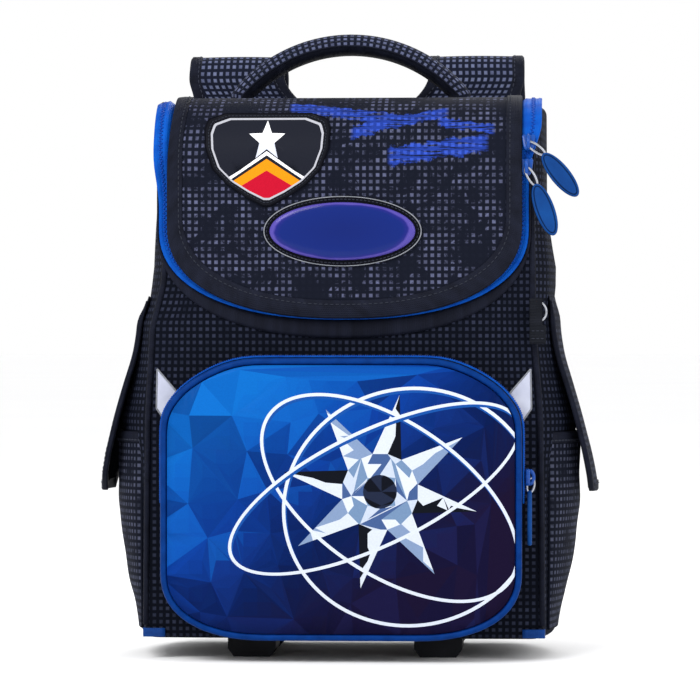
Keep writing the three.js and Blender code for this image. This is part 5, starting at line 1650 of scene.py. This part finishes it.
hang = Pattern()
rows, flat = [], []
hang_levels = {208 + k * 1.5 for k in range(20)} | {RING_MID - 9.0, RING_MID - 8.8, RING_MID + 8.7, 237.8}
for z in sorted(hang_levels):
    notched = abs(z - RING_MID) < 8.85
    x0, x1 = 122.6, 131.0 if notched else 133.4
    puff = 0.25 if notched else 0
    section = ((x0, -1.6), (x0 + 0.6, -2.2), (x1 - 0.6, -2.2 - puff), (x1, -1.6), (x1, 1.6), (x1 - 0.6, 2.2),
               (x0 + 0.6, 2.2), (x0, 1.6))
    rows.append([(x, RING_Y + off, z) for x, off in section])
    flat.append([(z, 2.2 * k) for k in range(9)])
hang.grid(rows, flat, closed=True, caps=True)
for z in (211.5, 216.5):
    stitches(hang, [(x, RING_Y - 2.2, z) for x in (123.6, 132.4)], (0, -1, 0), pitch=2.8, length=2.0, slot=1)
dress(hang.build("ring_webbing_loop", webbing_weave, stitch_thread), "black_cloth", "hang_loop")

# %% Reflective patches
# each corner as shares of half the back's width and of the pocket's top
CORNERS = [[(0.964, 0.955), (0.856, 0.875)], [(0.968, 0.825), (0.914, 0.775)]]
for name, side in SIDES:
    corners = [[(side * a * BACK_HALF, up * (POCKET_BASE + POCKET_H)) for a, up in row] for row in CORNERS]

    def patch_at(u, v, off):
        return on_face(*between(between(*corners[0], u), between(*corners[1], u), v), off)

    patch = Pattern()
    rows = [[patch_at(j / 8, i / 12, 1.1) for j in range(9)] for i in range(13)]
    patch.grid(rows, [[p[0::2] for p in row] for row in rows])
    film = patch.build(f"reflector_film_{name}", reflective_film)
    thicken(film, 0.7)
    dress(film, "reflective_film", f"reflector_{name}")
    trim, tenths = Pattern(), [k / 10 for k in range(11)]
    for line in [[(t, 0) for t in tenths], [(t, 1) for t in tenths], [(0, t) for t in tenths], [(1, t) for t in tenths]]:
        cord(trim, [patch_at(u, v, 0.95) for u, v in line], (0, 1, 0), 0.55, sides=8)
    dress(trim.build(f"reflector_trim_{name}", white_thread), "reflective_film")

# %% Corner tabs
TAB_OUTER = [(118, -77.9), (121, -78), (124, -77.8), (127, -78), (130, -77.9), (132.2, -77.4), (132.9, -76),
             (133, -73), (133, -69.2)]
TAB_INNER = [(131.9, -69.2), (131.8, -72.5), (131.2, -74.4), (129.8, -75.5), (126, -75.8), (118, -76.4)]
TAB_FOOT, TAB_STEP = 14.4, 0.72
for name, side in SIDES:
    tab, rows = Pattern(), []
    for z in [TAB_FOOT + k * TAB_STEP for k in range(9)]:
        ring = []
        for x, y in TAB_OUTER:
            crinkle = abs(0.35 * noise.noise(Vector((x * 0.55, z * 0.9, side * 4.0))))
            ring.append((side * (x - crinkle * 0.5), y + crinkle, z))
        rows.append(ring + [(side * x, y, z) for x, y in TAB_INNER])
    tab.grid(rows, spaced(16, 9, 1.9, TAB_STEP), closed=True, caps=True)
    dress(tab.build(f"corner_tab_cloth_{name}", tab_cloth), "blue_cloth", f"corner_tab_{name}")

# %% Rubber pulls
PULL_LONG, PULL_WIDE, PULL_THICK = 36, 13, 3
# (share of the outline, share of the thickness), from the back over the edge to the front
PULL_ROWS = [(0.3, -0.5), (0.88, -0.5), (0.97, -0.36), (1, -0.15), (1, 0.15), (0.97, 0.36), (0.88, 0.5),
             (0.8, 0.5), (0.77, 0.36), (0.68, 0.36), (0.65, 0.5), (0.55, 0.44), (0.3, 0.4)]
PULL_GROOVE = (7, 8, 9)


def rubber_pull(name, top, way, face, cad):
    """An oval drop hanging along way from its top, its broad side toward face."""
    way, face = Vector(way).normalized(), Vector(face)
    across, centre = way.cross(face).normalized(), Vector(top) + way * (PULL_LONG / 2)
    rows = []
    for share, out in PULL_ROWS:
        inset = (1 - share) * PULL_WIDE / 2
        rows.append([centre + way * ((PULL_LONG / 2 - inset) * math.cos(a))
                     + across * ((PULL_WIDE / 2 - inset) * math.sin(a)) + face * (out * PULL_THICK)
                     for a in turns(48)])
    pull = Pattern()
    pull.grid(rows, spaced(49, len(rows), 1.7, 1.0), closed=True, caps=True,
              slot=lambda i, j: 1 if i in PULL_GROOVE else 0)
    return dress(pull.build(name, soft_rubber, rubber_groove), "blue_rubber", cad)


SLIDER_OUTLINE = [(-2.2, -5.5), (2.2, -5.5), (3.4, -3.2), (4.0, 0.4), (4.4, 4.2), (3.4, 5.5), (1.2, 4.6),
                  (-1.2, 4.6), (-3.4, 5.5), (-4.4, 4.2), (-4.0, 0.4), (-3.4, -3.2)]
SLIDER_ROWS = ((0.94, 0), (1, 0.4), (1, 2.2), (0.94, 2.8), (0.8, 3.0))  # (share of the outline, height)


def slider_seat(along):
    """Where a slider sits on the lid's zip."""
    return on_face(zip_spread(120.5, along, 0.5), along, 3.6 + zip_wall(along) * 0.6)


def zip_slider(name, seat, out, way, link_end, cad):
    """A painted slider: a shield-shaped plate with a raised bridge, and a wire link to the pull."""
    seat, out, way = Vector(seat), Vector(out).normalized(), Vector(way).normalized()
    across = out.cross(way).normalized()
    slider = Pattern()
    rows = [[seat + across * (a * s) + way * (b * s) + out * h for a, b in SLIDER_OUTLINE]
            for s, h in SLIDER_ROWS]
    slider.grid(rows, spaced(13, 5, 1, 1), closed=True, caps=True)
    bridge = [seat + way * (4.2 * math.cos(a)) + out * (2.8 + 2.4 * math.sin(a)) for a in turns(24)[:13]]
    cord(slider, bridge, across, 1.3, sides=10)
    top = seat + out * 4.0 - way * 1.5
    run = Vector(link_end) - top
    ahead = run.normalized()
    side = ahead.cross(Vector((0, -1, 0)) if abs(ahead.y) < 0.9 else out).normalized()
    length = run.length + 2.5
    loop = [top + ahead * (length / 2 * (1 - math.cos(a)) - 1.0) + side * (2.3 * math.sin(a)) for a in turns(24)]
    cord(slider, loop, ahead.cross(side).normalized(), 0.85, sides=10, loop=True, slot=1)
    return dress(slider.build(name, enamel_blue, plated_steel), "steel", cad)


for name, up, top_x, top_rise, tilt in (("upper", 15, 131.5, 9.7, 39), ("lower", 1, 126.5, -10.3, 20)):
    a = math.radians(tilt)
    top = (top_x, slider_seat(ARCH_START + up)[1] - 3, ARCH_START + top_rise)
    rubber_pull(f"rubber_pull_{name}", top, (math.sin(a), 0, -math.cos(a)), (0, -1, 0), f"pull_{name}")
    turn = up / ARCH_RADIUS
    zip_slider(f"zip_slider_{name}", slider_seat(ARCH_START + up), (0, -math.cos(turn), math.sin(turn)),
               (0, math.sin(turn), math.cos(turn)), top, f"slider_{name}")
SLIDER_Z = 121
pull_top = (POCKET_W / 2 + 4.85, ZIP_Y, SLIDER_Z - 8.5)  # clear of the zip's tape and of the slider
rubber_pull("rubber_pull_pocket", pull_top, (0, 0, -1), (1, 0, 0), "pocket_pull")
zip_slider("zip_slider_pocket", (POCKET_W / 2 + 2.2, ZIP_Y, SLIDER_Z), (1, 0, 0), (0, 0, 1), pull_top,
           "pocket_slider")

# %% Rigid solids that stay
kept = [(f"ladder_lock_{side}", acetal, 0.6) for side, _ in SIDES]
kept += [(f"foot_{end}_{side}", hard_rubber, 1.2) for end in ("front", "back") for side, _ in SIDES]
for name, material, edge in kept:
    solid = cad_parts[name]
    solid.data.materials.clear()
    solid.data.materials.append(material)
    modifier(solid, "BEVEL", width=edge * MM, segments=3, limit_method="ANGLE", angle_limit=math.radians(40))
    print("kept", name, "in", material.name)
